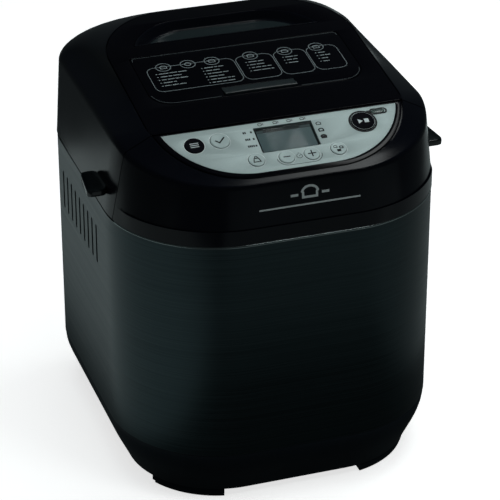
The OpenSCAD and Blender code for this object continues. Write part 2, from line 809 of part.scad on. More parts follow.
module window_bezel() {
    color(satin_black) on_top() difference() {
        slab(-window_deep, 0, crescent(window_hw, window_y0, window_y1, window_rear_r));
        hull() {
            slab(eps, 2 * eps, crescent(window_hw - 1, window_y0 + 1, window_y1 - 1, window_rear_r - 1));
            slab(-window_deep - 2 * eps, -window_deep - eps,
                crescent(window_hw - 7, window_y0 + 3, window_y1 - 5, window_rear_r - 5));
        }
    }
}

module lid_window() {
    color([0.2, 0.22, 0.22, 0.6]) on_top()
        slab(-window_deep - 2.6, -window_deep - 0.1,
            crescent(window_hw - 1, window_y0 + 1, window_y1 - 1, window_rear_r - 1));
}

module lid_liner() {
    color(silver) difference() {
        union() {
            slab(lid_z0 + 0.6, ceiling_z + sheet_t, rounded(100, oven_y0 - 2, oven_y1 + 2, 19, 19));
            slab(lid_z0 + 4.2, lid_z0 + 5, rounded(104, oven_y0 - 3.4, oven_y1 + 6, 22, 22));
        }
        slab(lid_z0 - 1, ceiling_z, rounded(99.2, oven_y0 - 1.2, oven_y1 + 1.2, 18.2, 18.2));
        translate([-box_hw - 1.4, -28.6, 200]) cube([2 * box_hw + 2.8, box_y1 + 30, 100]);
        translate([-60, 52, 200]) cube([120, 22, 100]);
    }
}

module lid_gasket() {
    color([0.3, 0.3, 0.3]) difference() {
        slab(wrap_z1 + 0.5, lid_z0 + 0.4, rounded(101, oven_y0 - 3, oven_y1 + 3, 20, 20));
        slab(wrap_z1 - 1, lid_z0 + 5, rounded(98.4, oven_y0 - 0.4, oven_y1 + 0.4, 17.4, 17.4));
    }
}

module dispenser_box() {
    color(satin_black) difference() {
        union() {
            translate([-box_hw, box_y0, box_z0]) cube([2 * box_hw, box_y1 - box_y0, 18]);
            for (s = [-1, 1]) translate([s * 35 - 2, trap_axis_y - 2.2, trap_axis_z - 2.2]) cube([4, 5.4, 8]);
        }
        translate([-box_hw + 1.6, box_y0 + 1.6, box_z0 - 1]) cube([2 * box_hw - 3.2,
            box_y1 - box_y0 - 3.2, 40]);
        translate([-50, trap_axis_y, trap_axis_z]) rotate([0, 90, 0]) cylinder(h = 100, r = trap_pin_r);
    }
}

module dispenser_trap() {
    color(satin_black) difference() {
        union() {
            translate([-32.6, trap_axis_y, trap_axis_z]) rotate([0, 90, 0]) cylinder(h = 65.2, r = 2);
            translate([-32.6, trap_axis_y, trap_axis_z - 0.2]) cube([65.2, 7, 1.8]);
            translate([-box_hw + 0.4, trap_axis_y + 5.4, trap_axis_z + 0.2])
                cube([2 * box_hw - 0.8, box_y1 - trap_axis_y - 5.4, 1.6]);
        }
        translate([-40, trap_axis_y, trap_axis_z]) rotate([0, 90, 0]) cylinder(h = 80,
            r = trap_pin_r + run_gap);
    }
}

module trap_solenoid() {
    color([0.6, 0.6, 0.58]) {
        translate([-72, -12, ceiling_z + sheet_t + 0.1]) cube([24, 18, 13]);
        translate([-48.2, -3, ceiling_z + 7]) rotate([0, 90, 0]) cylinder(h = 8, r = 2.5);
    }
}

// ---------- pan ----------

module bread_pan() {
    color([0.25, 0.25, 0.26]) difference() {
        union() {
            slab(pan_z0, pan_z1, pan_outline(0));
            slab(pan_z1 - 2.4, pan_z1, pan_outline(-rim_out));
            translate([0, pan_y, 60.2]) cylinder(h = 18.5, r = skirt_r);
            for (s = [-1, 1]) translate([s * 81.4 - 1.2, pan_y - 8, 188]) cube([2.4, 16, handle_pin_z - 182]);
            for (s = [-1, 1]) translate([s * 79.2 - 1.4, pan_y - 8, 188]) cube([2.8, 16, 12]);
        }
        slab(pan_z0 + pan_t, pan_z1 + 1, pan_outline(pan_t));
        translate([0, pan_y, 50]) cylinder(h = 26.5, r = skirt_r - pan_t);
        translate([0, pan_y, 50]) cylinder(h = 60, r = 8);
        translate([-120, pan_y, handle_pin_z]) rotate([0, 90, 0]) cylinder(h = 240, r = handle_pin_r);
    }
}

function pan_outline(inset) =
    rounded(pan_w / 2 - inset, pan_y - pan_d / 2 + inset, pan_y + pan_d / 2 - inset, pan_r - inset,
        pan_r - inset);

module pan_bushing() {
    color([0.6, 0.5, 0.28]) translate([0, pan_y, 0]) difference() {
        union() {
            translate([0, 0, 77]) cylinder(h = 11, r = 8);
            translate([0, 0, pan_z0 + pan_t]) cylinder(h = 2, r = 11);
        }
        translate([0, 0, 60]) cylinder(h = 40, r = shaft_r + run_gap);
    }
}

module handle_pins() {
    color(steel) for (s = [-1, 1]) translate([s * 84.5 - 4.6, pan_y, handle_pin_z]) rotate([0, 90, 0])
        cylinder(h = 9.2, r = handle_pin_r);
}

module pan_handle() {
    color(steel) translate([0, pan_y, handle_pin_z]) difference() {
        union() {
            for (s = [-1, 1]) {
                translate([s * handle_x - 2.7, 0, 0]) rotate([0, 90, 0]) cylinder(h = 5.4, r = 5);
                translate([s * handle_x, 3.6, 0]) rotate([-90, 0, 0])
                    cylinder(h = handle_l - handle_bend - 3.6, r = handle_r);
            }
            translate([handle_bend - handle_x, handle_l, 0]) rotate([0, 90, 0])
                cylinder(h = 2 * (handle_x - handle_bend), r = handle_r);
            bend(handle_x - handle_bend, handle_l - handle_bend, 0, handle_bend, handle_r);
            bend(handle_bend - handle_x, handle_l - handle_bend, 90, handle_bend, handle_r);
        }
        translate([-120, 0, 0]) rotate([0, 90, 0]) cylinder(h = 240, r = handle_pin_r + run_gap);
    }
}

module paddle_shaft() {
    color(steel) translate([0, pan_y, 0]) {
        translate([0, 0, 68]) cylinder(h = 44, r = shaft_r);
        translate([0, 0, 73.8]) cylinder(h = 2.7, r = 7);
        translate([-12, -3.2, 66.6]) cube([24, 6.4, 7]);
    }
}

module kneading_paddle() {
    color([0.2, 0.2, 0.21]) translate([0, pan_y, paddle_z0]) difference() {
        union() {
            cylinder(h = paddle_h, r = 8);
            translate([0, -2, 0]) cube([42, 4, paddle_h]);
            translate([20, -2, paddle_h - 1]) cube([22, 4, 16]);
        }
        translate([0, 0, -1]) cylinder(h = paddle_h + 5, r = shaft_r);
    }
}

base_tray();
corner_feet();
foot_pads();
metal_wrap();
wrap_trim();
top_deck();
front_housing();
panel_carrier();
fascia_panel();
lcd_window();
lcd_module();
indicator_lens();
control_board();
oven_liner();
heating_element();
temperature_probe();
chassis_frame();
bearing_housing();
spindle_bearings();
drive_belt();
motor_stator();
motor_bracket();
motor_capacitor();
power_board();
cord_gland();
pan_clips();
hinge_pins();
housing_screws();
wiring_loom();
lid_shell();
lid_frame();
lid_grips();
top_insert();
window_bezel();
lid_window();
lid_liner();
lid_gasket();
dispenser_box();
lid_pins();
trap_solenoid();
dispenser_flap();
flap_grip();
dispenser_trap();
menu_button();
select_button();
weight_button();
minus_button();
plus_button();
crust_button();
start_button();
bread_pan();
pan_bushing();
handle_pins();
pan_handle();
paddle_shaft();
kneading_paddle();
drive_spindle();
large_pulley();
motor_rotor();
small_pulley();
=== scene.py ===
"""Bread machine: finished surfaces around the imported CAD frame. Metres, the front faces -Y, +Z is up."""
import json
import bpy
import bmesh
from math import asin, atan2, cos, degrees, pi, radians, sin, tan
from mathutils import Matrix, Vector


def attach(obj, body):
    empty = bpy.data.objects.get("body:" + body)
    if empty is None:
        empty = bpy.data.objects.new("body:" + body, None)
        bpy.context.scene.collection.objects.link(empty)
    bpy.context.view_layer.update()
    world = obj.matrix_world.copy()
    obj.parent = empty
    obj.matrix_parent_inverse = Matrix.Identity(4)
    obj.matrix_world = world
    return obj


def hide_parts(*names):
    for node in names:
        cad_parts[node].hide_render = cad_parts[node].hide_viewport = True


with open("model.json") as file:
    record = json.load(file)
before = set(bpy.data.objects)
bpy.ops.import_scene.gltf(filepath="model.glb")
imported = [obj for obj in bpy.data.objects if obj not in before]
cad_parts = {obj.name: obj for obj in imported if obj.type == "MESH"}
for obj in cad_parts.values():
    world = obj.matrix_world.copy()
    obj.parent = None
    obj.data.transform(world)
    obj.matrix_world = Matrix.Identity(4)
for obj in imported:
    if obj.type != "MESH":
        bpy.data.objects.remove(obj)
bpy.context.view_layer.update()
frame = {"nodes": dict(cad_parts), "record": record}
CAD = frame["nodes"]

# ---------- dimensions, in millimetres ----------

MM = 0.001
SAME_POINT = 1e-6         # points closer than this, in metres, are one
HALF_W = 125.0            # half width of the casing
HALF_D = 129.5            # half depth
FRONT_R = 85.0            # front corner radius
REAR_R = 45.0             # rear corner radius
WRAP_Z0 = 46.0            # bottom and top of the metal wrap
WRAP_Z1 = 219.4
BAND_Z0 = 221.2           # bottom of the front housing
LID_Z0 = 222.6            # bottom of the lid
BAND_Z1 = 233.2           # step above the front housing's lower band
BREAK_Y = -70.2           # line where the lid top meets the control panel
BREAK_Z = 287.9
LID_SLOPE = radians(8)
PANEL_SLOPE = radians(22)
WALL = 2.6                # thickness of the plastic shells
CORNER = 32               # steps round each corner of the upper body
LID_DROP = 1.1            # how far the lid's side walls reach below its rear edge
DROP_BLEND = (90, 50)     # where along Y that sets in
BAND_BLEND = (-82, -68)   # where the band's edge turns level
WALL_H = 56               # about the height of the walls between the band and the crease
SEAM_GAP = 0.35           # half the gap between the lid and the front housing

CREASE_TOP = 281.0        # height of the crease along the sides, and at the front
CREASE_FRONT_Z = 277.0
CREASE_FRONT_Y = -64.5    # from here the crease falls to the front
CREASE_SLOPE = radians(10.7)
CREASE_BLEND = (-76, -40)
CREASE_HW = 118.5         # outline of the crease between the walls and the sloping rim
CREASE_FRONT = -125.0
CREASE_BACK = 124.9
CREASE_FRONT_R = 79.0
CREASE_REAR_R = 28.0
SHOULDER = (105.0, -116.0, 122.0, 75.0, 35.0)   # outline of the soft shoulder inside the crease
SHOULDER_Y = -55.0        # the shoulder's height here, its slope, and where it sets in
SHOULDER_Z = 278.9
SHOULDER_SLOPE = 0.088
SHOULDER_BLEND = (0, 80)
RIM_HW = 97.0             # outline of the rim's inner edge
RIM_R = 69.0
RIM_DEPTH = 54.0
LEDGE = 6.0               # width of the ledge that carries the panel
STRIP_LENGTH = 165.3
STRIP_REAR_R = 60.0
KNUCKLES = (-76, 76)      # middles of the openings for the hinge knuckles
KNUCKLE_HW = 17
DISPENSER_MOUTH = (38.1, 46.5, 89.5, 3, 3)
FASCIA_HW = 91.5
FASCIA_R = 64.0
FASCIA_DEPTH = 49.0
FASCIA_T = 1.2

# Keys on the panel: x, distance up the slope, radius
KEYS = {
    "menu_button": (-68.2, -15.5, 7.3), "select_button": (-48.9, -14.3, 7.3),
    "weight_button": (-28.5, -37.0, 6.2), "minus_button": (-6.3, -38.4, 6.0),
    "plus_button": (12.5, -38.6, 6.0), "crust_button": (33.0, -37.5, 6.0),
    "start_button": (59.3, -15.4, 9.0),
}
KEY_MARK_Z = 0.68
LCD = (-22.0, -31.3, 22.0, -7.0)      # display: left, lower, right and upper edge
LAMP = (70.0, 77.0, -7.6, 1.6)        # lamp: ends of its middle line, its place up the slope, radius

FLAP = (82.0, 36.0, 103.7, 17.0)      # dispenser flap: half width, front, back, front corner radius
FLAP_REAR_R = 4.5
PIN_X = 60.0              # slots in the flap's underside for its pins
PIN_SLOT_HW = 5.8
PIN_SLOT_Z = -0.32
GRIP_HW = 27.8            # grip on the flap
GRIP_Y = 2.2
GRIP_BOTTOM = -0.9
GRIP_PROFILE = [(0.0, 1.3), (1.4, 1.75), (2.8, 1.5), (5.0, 0.55), (7.5, 0.15), (9.6, 0.05), (9.9, -0.6),
                (9.9, GRIP_BOTTOM)]
WINDOW = (76.0, 120.0, 149.0, 45.0)   # viewing window: half width, front, back, rear corner radius
WINDOW_DEEP = 7.0
# Sections of the window's bezel: inset in front and at the sides, inset behind, height
BEZEL = [(0.1, 0.1, -WINDOW_DEEP), (0.1, 0.1, -0.5), (0.25, 0.25, 0.0), (0.6, 0.6, 0.2), (1.1, 1.1, 0.1),
         (2.0, 1.7, -0.9), (4.6, 3.2, -5.0), (5.6, 4.0, -6.5), (6.6, 4.6, -6.95), (7.4, 5.0, -WINDOW_DEEP)]

LUG_Z = 235.0             # bottom of the lugs on the lid's sides
LUG_SLOT_Y = (-49.2, -16.8)
LUG_MIDDLE = Vector((129.0, -33.0))
LUG_PLAN = [(121.5, -49.6), (128, -49.8), (135, -49.8), (137.3, -49.0), (138.3, -47.0), (137.9, -43),
            (137.0, -34), (135.9, -24), (135.0, -18.5), (133.6, -16.6), (128, -16.2), (121.5, -16.2)]
LUG_SECTIONS = [(0, 0.955), (0.5, 0.985), (1.4, 1.0), (4.3, 1.0), (5.1, 0.985), (5.4, 0.95), (5.2, 0.88),
                (4.7, 0.7), (4.5, 0.35)]    # height, scale

VENT_COUNT = 9
VENT_R = 1.9
VENT_PITCH = 11.75
VENT_Y0 = -18.5
VENT_Z = (166.5, 194.5)

TRIM_SECTION = [(0.0, 219.5), (0.0, 220.7), (0.35, 221.0), (1.3, 221.0), (1.3, 219.5)]   # depth, height
TRIM_BACK = -60           # where the trim ends at the sides
# Sections of the base shell: height, inset
TRAY = [(45.9, 2.2), (45.9, 1.0), (45.2, 0.75), (42, 0.9), (38, 1.5), (34, 2.6), (30, 4.0), (26, 5.7),
        (22, 7.6), (18, 9.5), (14, 11.4), (11, 12.8), (8.8, 13.8), (7.4, 14.5), (6.9, 15.4), (6.8, 18.0)]
GLAND = (-70, -30)        # cord gland: x and -z, the radii of its hole and of its flange's recess
GLAND_R = 6.2
GLAND_FLANGE_R = 8.8
FOOT_IN = 15.5            # how far the feet sit inside the casing
FOOT_WIDTH = 16
FOOT_Z = (2.2, 8.5)
PAD_Z = (0.02, 2.6)
FOOT_GAP = {-1: 56.0, 1: 51.5}    # half the gap between the feet, left and right
FOOT_END = {-1: 76.0, 1: 62.0}    # where the feet end, front and rear
FRONT_WALL_TILT = radians(84.2)   # slope of the front wall under the panel
FRONT_MARK = (0, -126.57, 250)         # where the mark on it is


# ---------- materials ----------

M = {}     # every material by its name


def fill(node, **values):
    """Sets a node's sockets; an underscore stands for a space in a socket's name."""
    for socket, value in values.items():
        node.inputs[socket.replace("_", " ")].default_value = value


class Shader:
    """A Principled material with helpers for procedural variation in object space."""

    def __init__(self, name, color, metallic=0.0, roughness=0.5, **sockets):
        self.mat = M[name] = bpy.data.materials.new(name)
        self.mat.use_nodes = True
        self.tree = self.mat.node_tree
        self.bsdf = self.tree.nodes["Principled BSDF"]
        self.color = color
        fill(self.bsdf, Base_Color=(*color, 1.0), Metallic=metallic, Roughness=roughness, **sockets)
        self.coords = self.node("ShaderNodeTexCoord").outputs["Object"]
        self.height = None

    def node(self, kind, **settings):
        new = self.tree.nodes.new(kind)
        for key, value in settings.items():
            setattr(new, key, value)
        return new

    def link(self, a, b):
        self.tree.links.new(a, b)

    def noise(self, scale, stretch=(1, 1, 1), detail=3.0, rough=0.55):
        """Noise factor in object space; scale counts features in each metre, stretch scales the axes."""
        mapping = self.node("ShaderNodeMapping")
        fill(mapping, Scale=stretch)
        texture = self.node("ShaderNodeTexNoise")
        fill(texture, Scale=scale, Detail=detail, Roughness=rough)
        self.link(self.coords, mapping.inputs["Vector"])
        self.link(mapping.outputs["Vector"], texture.inputs["Vector"])
        return texture.outputs["Fac"]

    def ramp(self, factor, low, high, start=0.3, end=0.7):
        """Maps a factor to a range of values."""
        span = self.node("ShaderNodeMapRange")
        fill(span, From_Min=start, From_Max=end, To_Min=low, To_Max=high)
        self.link(factor, span.inputs["Value"])
        return span.outputs["Result"]

    def tint(self, factor, dark, light, start=0.3, end=0.7):
        """Base colour varies between two multiples of the material's colour."""
        mix = self.node("ShaderNodeMix", data_type="RGBA")
        mix.inputs["A"].default_value = (*(c * dark for c in self.color), 1.0)
        mix.inputs["B"].default_value = (*(min(1.0, c * light) for c in self.color), 1.0)
        self.link(self.ramp(factor, 0, 1, start, end), mix.inputs["Factor"])
        self.link(mix.outputs["Result"], self.bsdf.inputs["Base Color"])
        return mix

    def worn(self, mix, edge_color, amount=0.5):
        """Lighter, rubbed colour along convex edges."""
        geometry = self.node("ShaderNodeNewGeometry")
        edge = self.ramp(geometry.outputs["Pointiness"], 0, amount, 0.53, 0.62)
        patches = self.ramp(self.noise(60, detail=5), 0.2, 1.0)
        both = self.node("ShaderNodeMath", operation="MULTIPLY")
        self.link(edge, both.inputs[0])
        self.link(patches, both.inputs[1])
        wear = self.node("ShaderNodeMix", data_type="RGBA")
        wear.inputs["B"].default_value = (*edge_color, 1.0)
        self.link(both.outputs["Value"], wear.inputs["Factor"])
        self.link(mix.outputs["Result"], wear.inputs["A"])
        self.link(wear.outputs["Result"], self.bsdf.inputs["Base Color"])

    def rough(self, factor, low, high, start=0.3, end=0.7):
        self.link(self.ramp(factor, low, high, start, end), self.bsdf.inputs["Roughness"])

    def bump(self, factor, distance, strength=1.0):
        """Adds a layer of surface relief; distance in metres."""
        bump = self.node("ShaderNodeBump")
        fill(bump, Strength=strength, Distance=distance)
        self.link(factor, bump.inputs["Height"])
        if self.height:
            self.link(self.height, bump.inputs["Normal"])
        self.height = bump.outputs["Normal"]
        self.link(self.height, self.bsdf.inputs["Normal"])


def moulded(name, color, roughness, grain=0.00002, specular=0.5):
    """Moulded plastic: fine spark-eroded grain, slight flow marks, rubbed edges."""
    s = Shader(name, color, roughness=roughness, Specular_IOR_Level=specular)
    mix = s.tint(s.noise(9, detail=4), 0.82, 1.25)
    s.worn(mix, [min(1.0, c * 1.8 + 0.005) for c in color], 0.5)
    s.rough(s.noise(14, detail=5), roughness * 0.86, roughness * 1.18)
    if grain:
        s.bump(s.noise(1500, detail=2), grain, 0.35)
    s.bump(s.noise(22, detail=1), 0.00012, 0.12)


def lacquered_metal(name, color, roughness, stretch, streak=0.00001):
    """Brushed sheet: streaks along the axis whose stretch is small."""
    s = Shader(name, color, metallic=1.0, roughness=roughness, Anisotropic=0.35)
    fine = s.noise(260, stretch, detail=6, rough=0.7)
    broad = s.noise(5, detail=2)
    mix = s.tint(fine, 0.72, 1.3, 0.35, 0.65)
    s.worn(mix, [min(1.0, c * 1.6 + 0.02) for c in color], 0.4)
    s.rough(fine, roughness * 0.85, roughness * 1.25, 0.35, 0.65)
    s.bump(fine, streak, 0.5)
    s.bump(broad, 0.0004, 0.05)


ALONG_X = (0.03, 1.0, 6.0)    # stretch of a grain that runs along X


def satin_paint(name, color, roughness):
    """Silver lacquer with a fine flake and almost no grain."""
    s = Shader(name, color, metallic=0.35, roughness=roughness)
    flake = s.noise(2600, detail=1)
    mix = s.tint(flake, 0.93, 1.06)
    s.worn(mix, [min(1.0, c * 1.2) for c in color], 0.3)
    s.rough(s.noise(40, ALONG_X, detail=5), roughness * 0.93, roughness * 1.08)
    s.bump(flake, 0.000004, 0.25)


def bare_metal(name, color, roughness, spots=0.9):
    """Plain steel or cast alloy with faint handling marks."""
    s = Shader(name, color, metallic=1.0, roughness=roughness)
    mix = s.tint(s.noise(18, detail=6), spots, 1.08)
    s.worn(mix, [min(1.0, c * 1.25) for c in color], 0.4)
    s.rough(s.noise(90, detail=6), roughness * 0.75, roughness * 1.3)
    s.bump(s.noise(700, detail=3), 0.00001, 0.3)


def soft_rubber(name, color):
    s = Shader(name, color, roughness=0.78, Specular_IOR_Level=0.3)
    mix = s.tint(s.noise(35, detail=5), 0.75, 1.4)
    s.worn(mix, [c * 1.8 + 0.01 for c in color], 0.4)
    s.rough(s.noise(60), 0.68, 0.88)
    s.bump(s.noise(1200, detail=2), 0.00003, 0.4)


def clear_plastic(name, color, roughness, dark=0.93, light=1.04, uneven=1.4, **sockets):
    """Clear or smoked plastic: faint clouds in its tint and shine."""
    s = Shader(name, color, roughness=roughness, **sockets)
    s.tint(s.noise(12, detail=3), dark, light)
    s.rough(s.noise(30, detail=4), roughness * 0.8, roughness * uneven)
    s.bump(s.noise(40, detail=1), 0.0001, 0.04)


def ink(name, color):
    """Screen-printed ink: slightly uneven, satin."""
    s = Shader(name, color, roughness=0.5, Specular_IOR_Level=0.3)
    s.tint(s.noise(500, detail=4), 0.86, 1.04)
    s.rough(s.noise(300), 0.42, 0.58)
    s.bump(s.noise(1500), 0.00001, 0.3)


def circuit(name, color):
    s = Shader(name, color, roughness=0.45)
    s.tint(s.noise(180, (1, 3, 1), detail=5, rough=0.8), 0.6, 1.3)
    s.rough(s.noise(120), 0.35, 0.6)
    s.bump(s.noise(260, (3, 1, 1), detail=2), 0.00008, 0.4)


def baked_steel(name, color):
    """Heat-tinted sheath of the heating element."""
    s = Shader(name, color, metallic=0.9, roughness=0.5)
    mix = s.tint(s.noise(28, detail=5), 0.5, 1.6)
    s.worn(mix, [0.3, 0.2, 0.13], 0.3)
    s.rough(s.noise(70, detail=5), 0.4, 0.7)
    s.bump(s.noise(900), 0.00003, 0.5)


ROUND_Z = (0.02, 0.02, 8.0)   # stretch of a grain that runs round the casing
ALONG_Z = (1, 1, 0.1)         # and of one that runs upwards

moulded("black_plastic", (0.008, 0.012, 0.016), 0.5, specular=0.1)
moulded("lug_plastic", (0.0015, 0.003, 0.004), 0.14, grain=0.000004, specular=0.4)
moulded("housing_plastic", (0.0015, 0.002, 0.004), 0.2, grain=0.000004, specular=0.14)
moulded("gloss_strip", (0.0008, 0.0008, 0.002), 0.12, grain=0, specular=0.1)
soft_rubber("rubber", (0.012, 0.012, 0.012))
lacquered_metal("dark_metal", (0.0265, 0.038, 0.041), 0.36, ROUND_Z, streak=0.0000015)
lacquered_metal("bright_trim", (0.2, 0.23, 0.23), 0.22, ROUND_Z)
satin_paint("fascia_silver", (0.36, 0.44, 0.435), 0.45)
clear_plastic("clear_lens", (0.05, 0.07, 0.07), 0.06, 0.85, 1.1, 1.5, Alpha=0.14)
moulded("lcd", (0.11, 0.17, 0.18), 0.3, grain=0, specular=0.2)
clear_plastic("lamp_lens", (0.05, 0.09, 0.08), 0.18, Transmission_Weight=0.35, IOR=1.46)
circuit("circuit_board", (0.02, 0.10, 0.045))
circuit("brown_board", (0.2, 0.13, 0.05))
lacquered_metal("oven_steel", (0.46, 0.47, 0.47), 0.34, ALONG_Z)
baked_steel("heater_tube", (0.12, 0.105, 0.095))
bare_metal("zinc_steel", (0.52, 0.53, 0.53), 0.38)
bare_metal("cast_alloy", (0.4, 0.41, 0.42), 0.55, 0.8)
bare_metal("bearing_steel", (0.58, 0.59, 0.6), 0.22)
soft_rubber("belt_rubber", (0.014, 0.013, 0.013))
bare_metal("motor_iron", (0.2, 0.17, 0.14), 0.5, 0.7)
moulded("capacitor_can", (0.62, 0.62, 0.6), 0.4)
moulded("wire_cover", (0.25, 0.02, 0.015), 0.45)
clear_plastic("window_glass", (0.02, 0.03, 0.033), 0.08, Transmission_Weight=0.35, IOR=1.46)
soft_rubber("seal", (0.08, 0.08, 0.08))
moulded("grip_grey", (0.011, 0.016, 0.018), 0.35)
satin_paint("key_silver", (0.35, 0.43, 0.425), 0.42)
moulded("key_black", (0.002, 0.002, 0.004), 0.45, grain=0, specular=0.03)
moulded("nonstick", (0.022, 0.022, 0.024), 0.45, grain=0.00004)
bare_metal("bronze", (0.42, 0.3, 0.14), 0.4)
moulded("pulley_plastic", (0.6, 0.6, 0.57), 0.45)
moulded("solenoid_coil", (0.4, 0.38, 0.3), 0.5)
ink("white_ink", (0.6, 0.66, 0.68))
ink("frame_ink", (0.17, 0.2, 0.21))
ink("row_ink", (0.26, 0.3, 0.31))
ink("grey_ink", (0.06, 0.09, 0.095))
ink("dark_ink", (0.002, 0.003, 0.004))
# Near-black for the painted shade on the sheets behind the vents, and for the dark band across the top of the
# screen
ink("shadow_gap", (0.002, 0.002, 0.003))
ink("grey_line", (0.05, 0.062, 0.066))
# Light grey for the painted highlight round the keys' edges
ink("key_glint_paint", (0.75, 0.82, 0.82))
ink("silver_ink", (0.5, 0.54, 0.54))


# ---------- mesh helpers ----------

def add_object(name, data):
    obj = bpy.data.objects.new(name, data)
    bpy.context.scene.collection.objects.link(obj)
    return obj


def add_mesh(name, verts, faces):
    mesh = bpy.data.meshes.new(name)
    mesh.from_pydata([Vector(v) * MM for v in verts], [], faces)
    mesh.update()
    return add_object(name, mesh)


def bake(obj):
    """Replaces the object's data with its evaluated mesh, so no modifier or curve is left."""
    graph = bpy.context.evaluated_depsgraph_get()
    mesh = bpy.data.meshes.new_from_object(obj.evaluated_get(graph))
    if obj.type == "MESH":
        obj.modifiers.clear()
        obj.data = mesh
        return obj
    new = add_object(obj.name + "_mesh", mesh)
    new.matrix_world = obj.matrix_world
    name = obj.name
    bpy.data.objects.remove(obj)
    new.name = name
    return new


def outward(obj, merge=False):
    """Turns every face outwards; merge first joins points that coincide."""
    bm = bmesh.new()
    bm.from_mesh(obj.data)
    if merge:
        bmesh.ops.remove_doubles(bm, verts=bm.verts, dist=SAME_POINT)
    bmesh.ops.recalc_face_normals(bm, faces=bm.faces)
    bm.to_mesh(obj.data)
    bm.free()


def tidy_normals(obj, angle=32):
    """Smooth shading with sharp edges above the angle, in degrees."""
    outward(obj, merge=True)
    obj.data.shade_smooth()
    obj.data.set_sharp_from_angle(angle=radians(angle))


def dress(obj, body, material, *nodes, slot=None):
    """Material, body and the CAD nodes that the piece stands for."""
    obj.data.materials.clear()
    obj.data.materials.append(M[material])
    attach(obj, body)
    if nodes:
        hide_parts(*nodes)
    return obj


def modifier(obj, kind, **settings):
    mod = obj.modifiers.new(kind.lower(), kind)
    for key, value in settings.items():
        setattr(mod, key, value)
    return mod


def round_edges(obj, width, segments=2, angle=30):
    modifier(obj, "BEVEL", width=width * MM, segments=segments, limit_method="ANGLE",
             angle_limit=radians(angle), use_clamp_overlap=True)
    bake(obj)
    tidy_normals(obj, 40)
    modifier(obj, "WEIGHTED_NORMAL", keep_sharp=True)
    return bake(obj)


def cut(obj, *cutters):
    """Boolean difference with throwaway objects."""
    for cutter in cutters:
        modifier(obj, "BOOLEAN", operation="DIFFERENCE", solver="EXACT", object=cutter)
        bake(obj)
        bpy.data.objects.remove(cutter)
    return obj


def block(x0, y0, z0, x1, y1, z1, place=Matrix()):
    return prism([(x0, y0), (x1, y0), (x1, y1), (x0, y1)], z0, z1, place)


def prism(points, z0, z1, place=Matrix()):
    n = len(points)
    verts = [place @ Vector((x, y, z)) for z in (z0, z1) for x, y in points]
    faces = [tuple(range(n - 1, -1, -1)), tuple(range(n, 2 * n))]
    faces += [(i, (i + 1) % n, n + (i + 1) % n, n + i) for i in range(n)]
    obj = add_mesh("cutter", verts, faces)
    outward(obj)
    return obj


def loft(rings, close_top=False, close_bottom=False):
    """Vertices and quads through closed rings that have the same number of points."""
    n = len(rings[0])
    verts = [p for ring in rings for p in ring]
    faces = []
    for k in range(len(rings) - 1):
        for i in range(n):
            j = (i + 1) % n
            faces.append((k * n + i, k * n + j, (k + 1) * n + j, (k + 1) * n + i))
    if close_top:
        faces.append(tuple((len(rings) - 1) * n + i for i in range(n)))
    if close_bottom:
        faces.append(tuple(range(n - 1, -1, -1)))
    return verts, faces


# Planes of the control panel and the lid top: x across, y up the slope from the line where they meet
BREAK = Vector((0, BREAK_Y, BREAK_Z))
PANEL = Matrix.Translation(BREAK) @ Matrix.Rotation(PANEL_SLOPE, 4, "X")
TOP = Matrix.Translation(BREAK) @ Matrix.Rotation(LID_SLOPE, 4, "X")


# ---------- outlines ----------

def arc(cx, cy, rx, ry, start, steps, sweep=90):
    return [(cx + rx * cos(radians(start + sweep * i / steps)),
             cy + ry * sin(radians(start + sweep * i / steps))) for i in range(steps + 1)]


def between(a, b, steps):
    return [(a[0] + (b[0] - a[0]) * i / steps, a[1] + (b[1] - a[1]) * i / steps) for i in range(1, steps)]


def rounded(hw, y0, y1, rf, rb, rfy=None, steps=20, side=14, flat=4):
    """Rounded rectangle; rfy is the front corners' radius along Y where it differs."""
    rfy = rfy or rf
    corners = [arc(hw - rf, y0 + rfy, rf, rfy, -90, steps), arc(hw - rb, y1 - rb, rb, rb, 0, steps),
               arc(-hw + rb, y1 - rb, rb, rb, 90, steps), arc(-hw + rf, y0 + rfy, rf, rfy, 180, steps)]
    counts = [side, flat, side, flat]
    points = []
    for k, corner in enumerate(corners):
        points += corner + between(corner[-1], corners[(k + 1) % 4][0], counts[k])
    return points


def outline(inset, **kw):
    return rounded(HALF_W - inset, inset - HALF_D, HALF_D - inset, FRONT_R - inset, REAR_R - inset, **kw)


def d_shape(hw, depth, r, back, steps=40):
    """Flat-backed D in the panel's plane."""
    end = degrees(asin((depth - r - back) / r))
    right = arc(hw - r, r - depth, r, r, -90, steps, end + 90)
    return right + [(-x, y) for x, y in reversed(right)]


def crescent(hw, y0, y1, r, steps=30):
    """Straight in front, round at the rear corners."""
    start = degrees(asin((y0 - y1 + r) / r))
    right = arc(hw - r, y1 - r, r, r, start, steps, 90 - start)
    front = (right[0][0], y0)
    lead = between((-front[0], y0), front, 8)
    return right + [(-x, y) for x, y in reversed(right)] + lead


def window_outline(inset=0.0, rear=None):
    hw, y0, y1, r = WINDOW
    rear = inset if rear is None else rear
    return crescent(hw - inset, y0 + min(inset, 3), y1 - rear, r - rear)


def circle(cx, cy, r, steps=48):
    return arc(cx, cy, r, r, 0, steps, 360)[:-1]


def pill(x0, x1, y, r, steps=14):
    return arc(x1, y, r, r, -90, steps, 180) + arc(x0, y, r, r, 90, steps, 180)


def box_outline(x0, y0, x1, y1, r=0.6):
    c = arc(x1 - r, y0 + r, r, r, -90, 4) + arc(x1 - r, y1 - r, r, r, 0, 4)
    return c + arc(x0 + r, y1 - r, r, r, 90, 4) + arc(x0 + r, y0 + r, r, r, 180, 4)


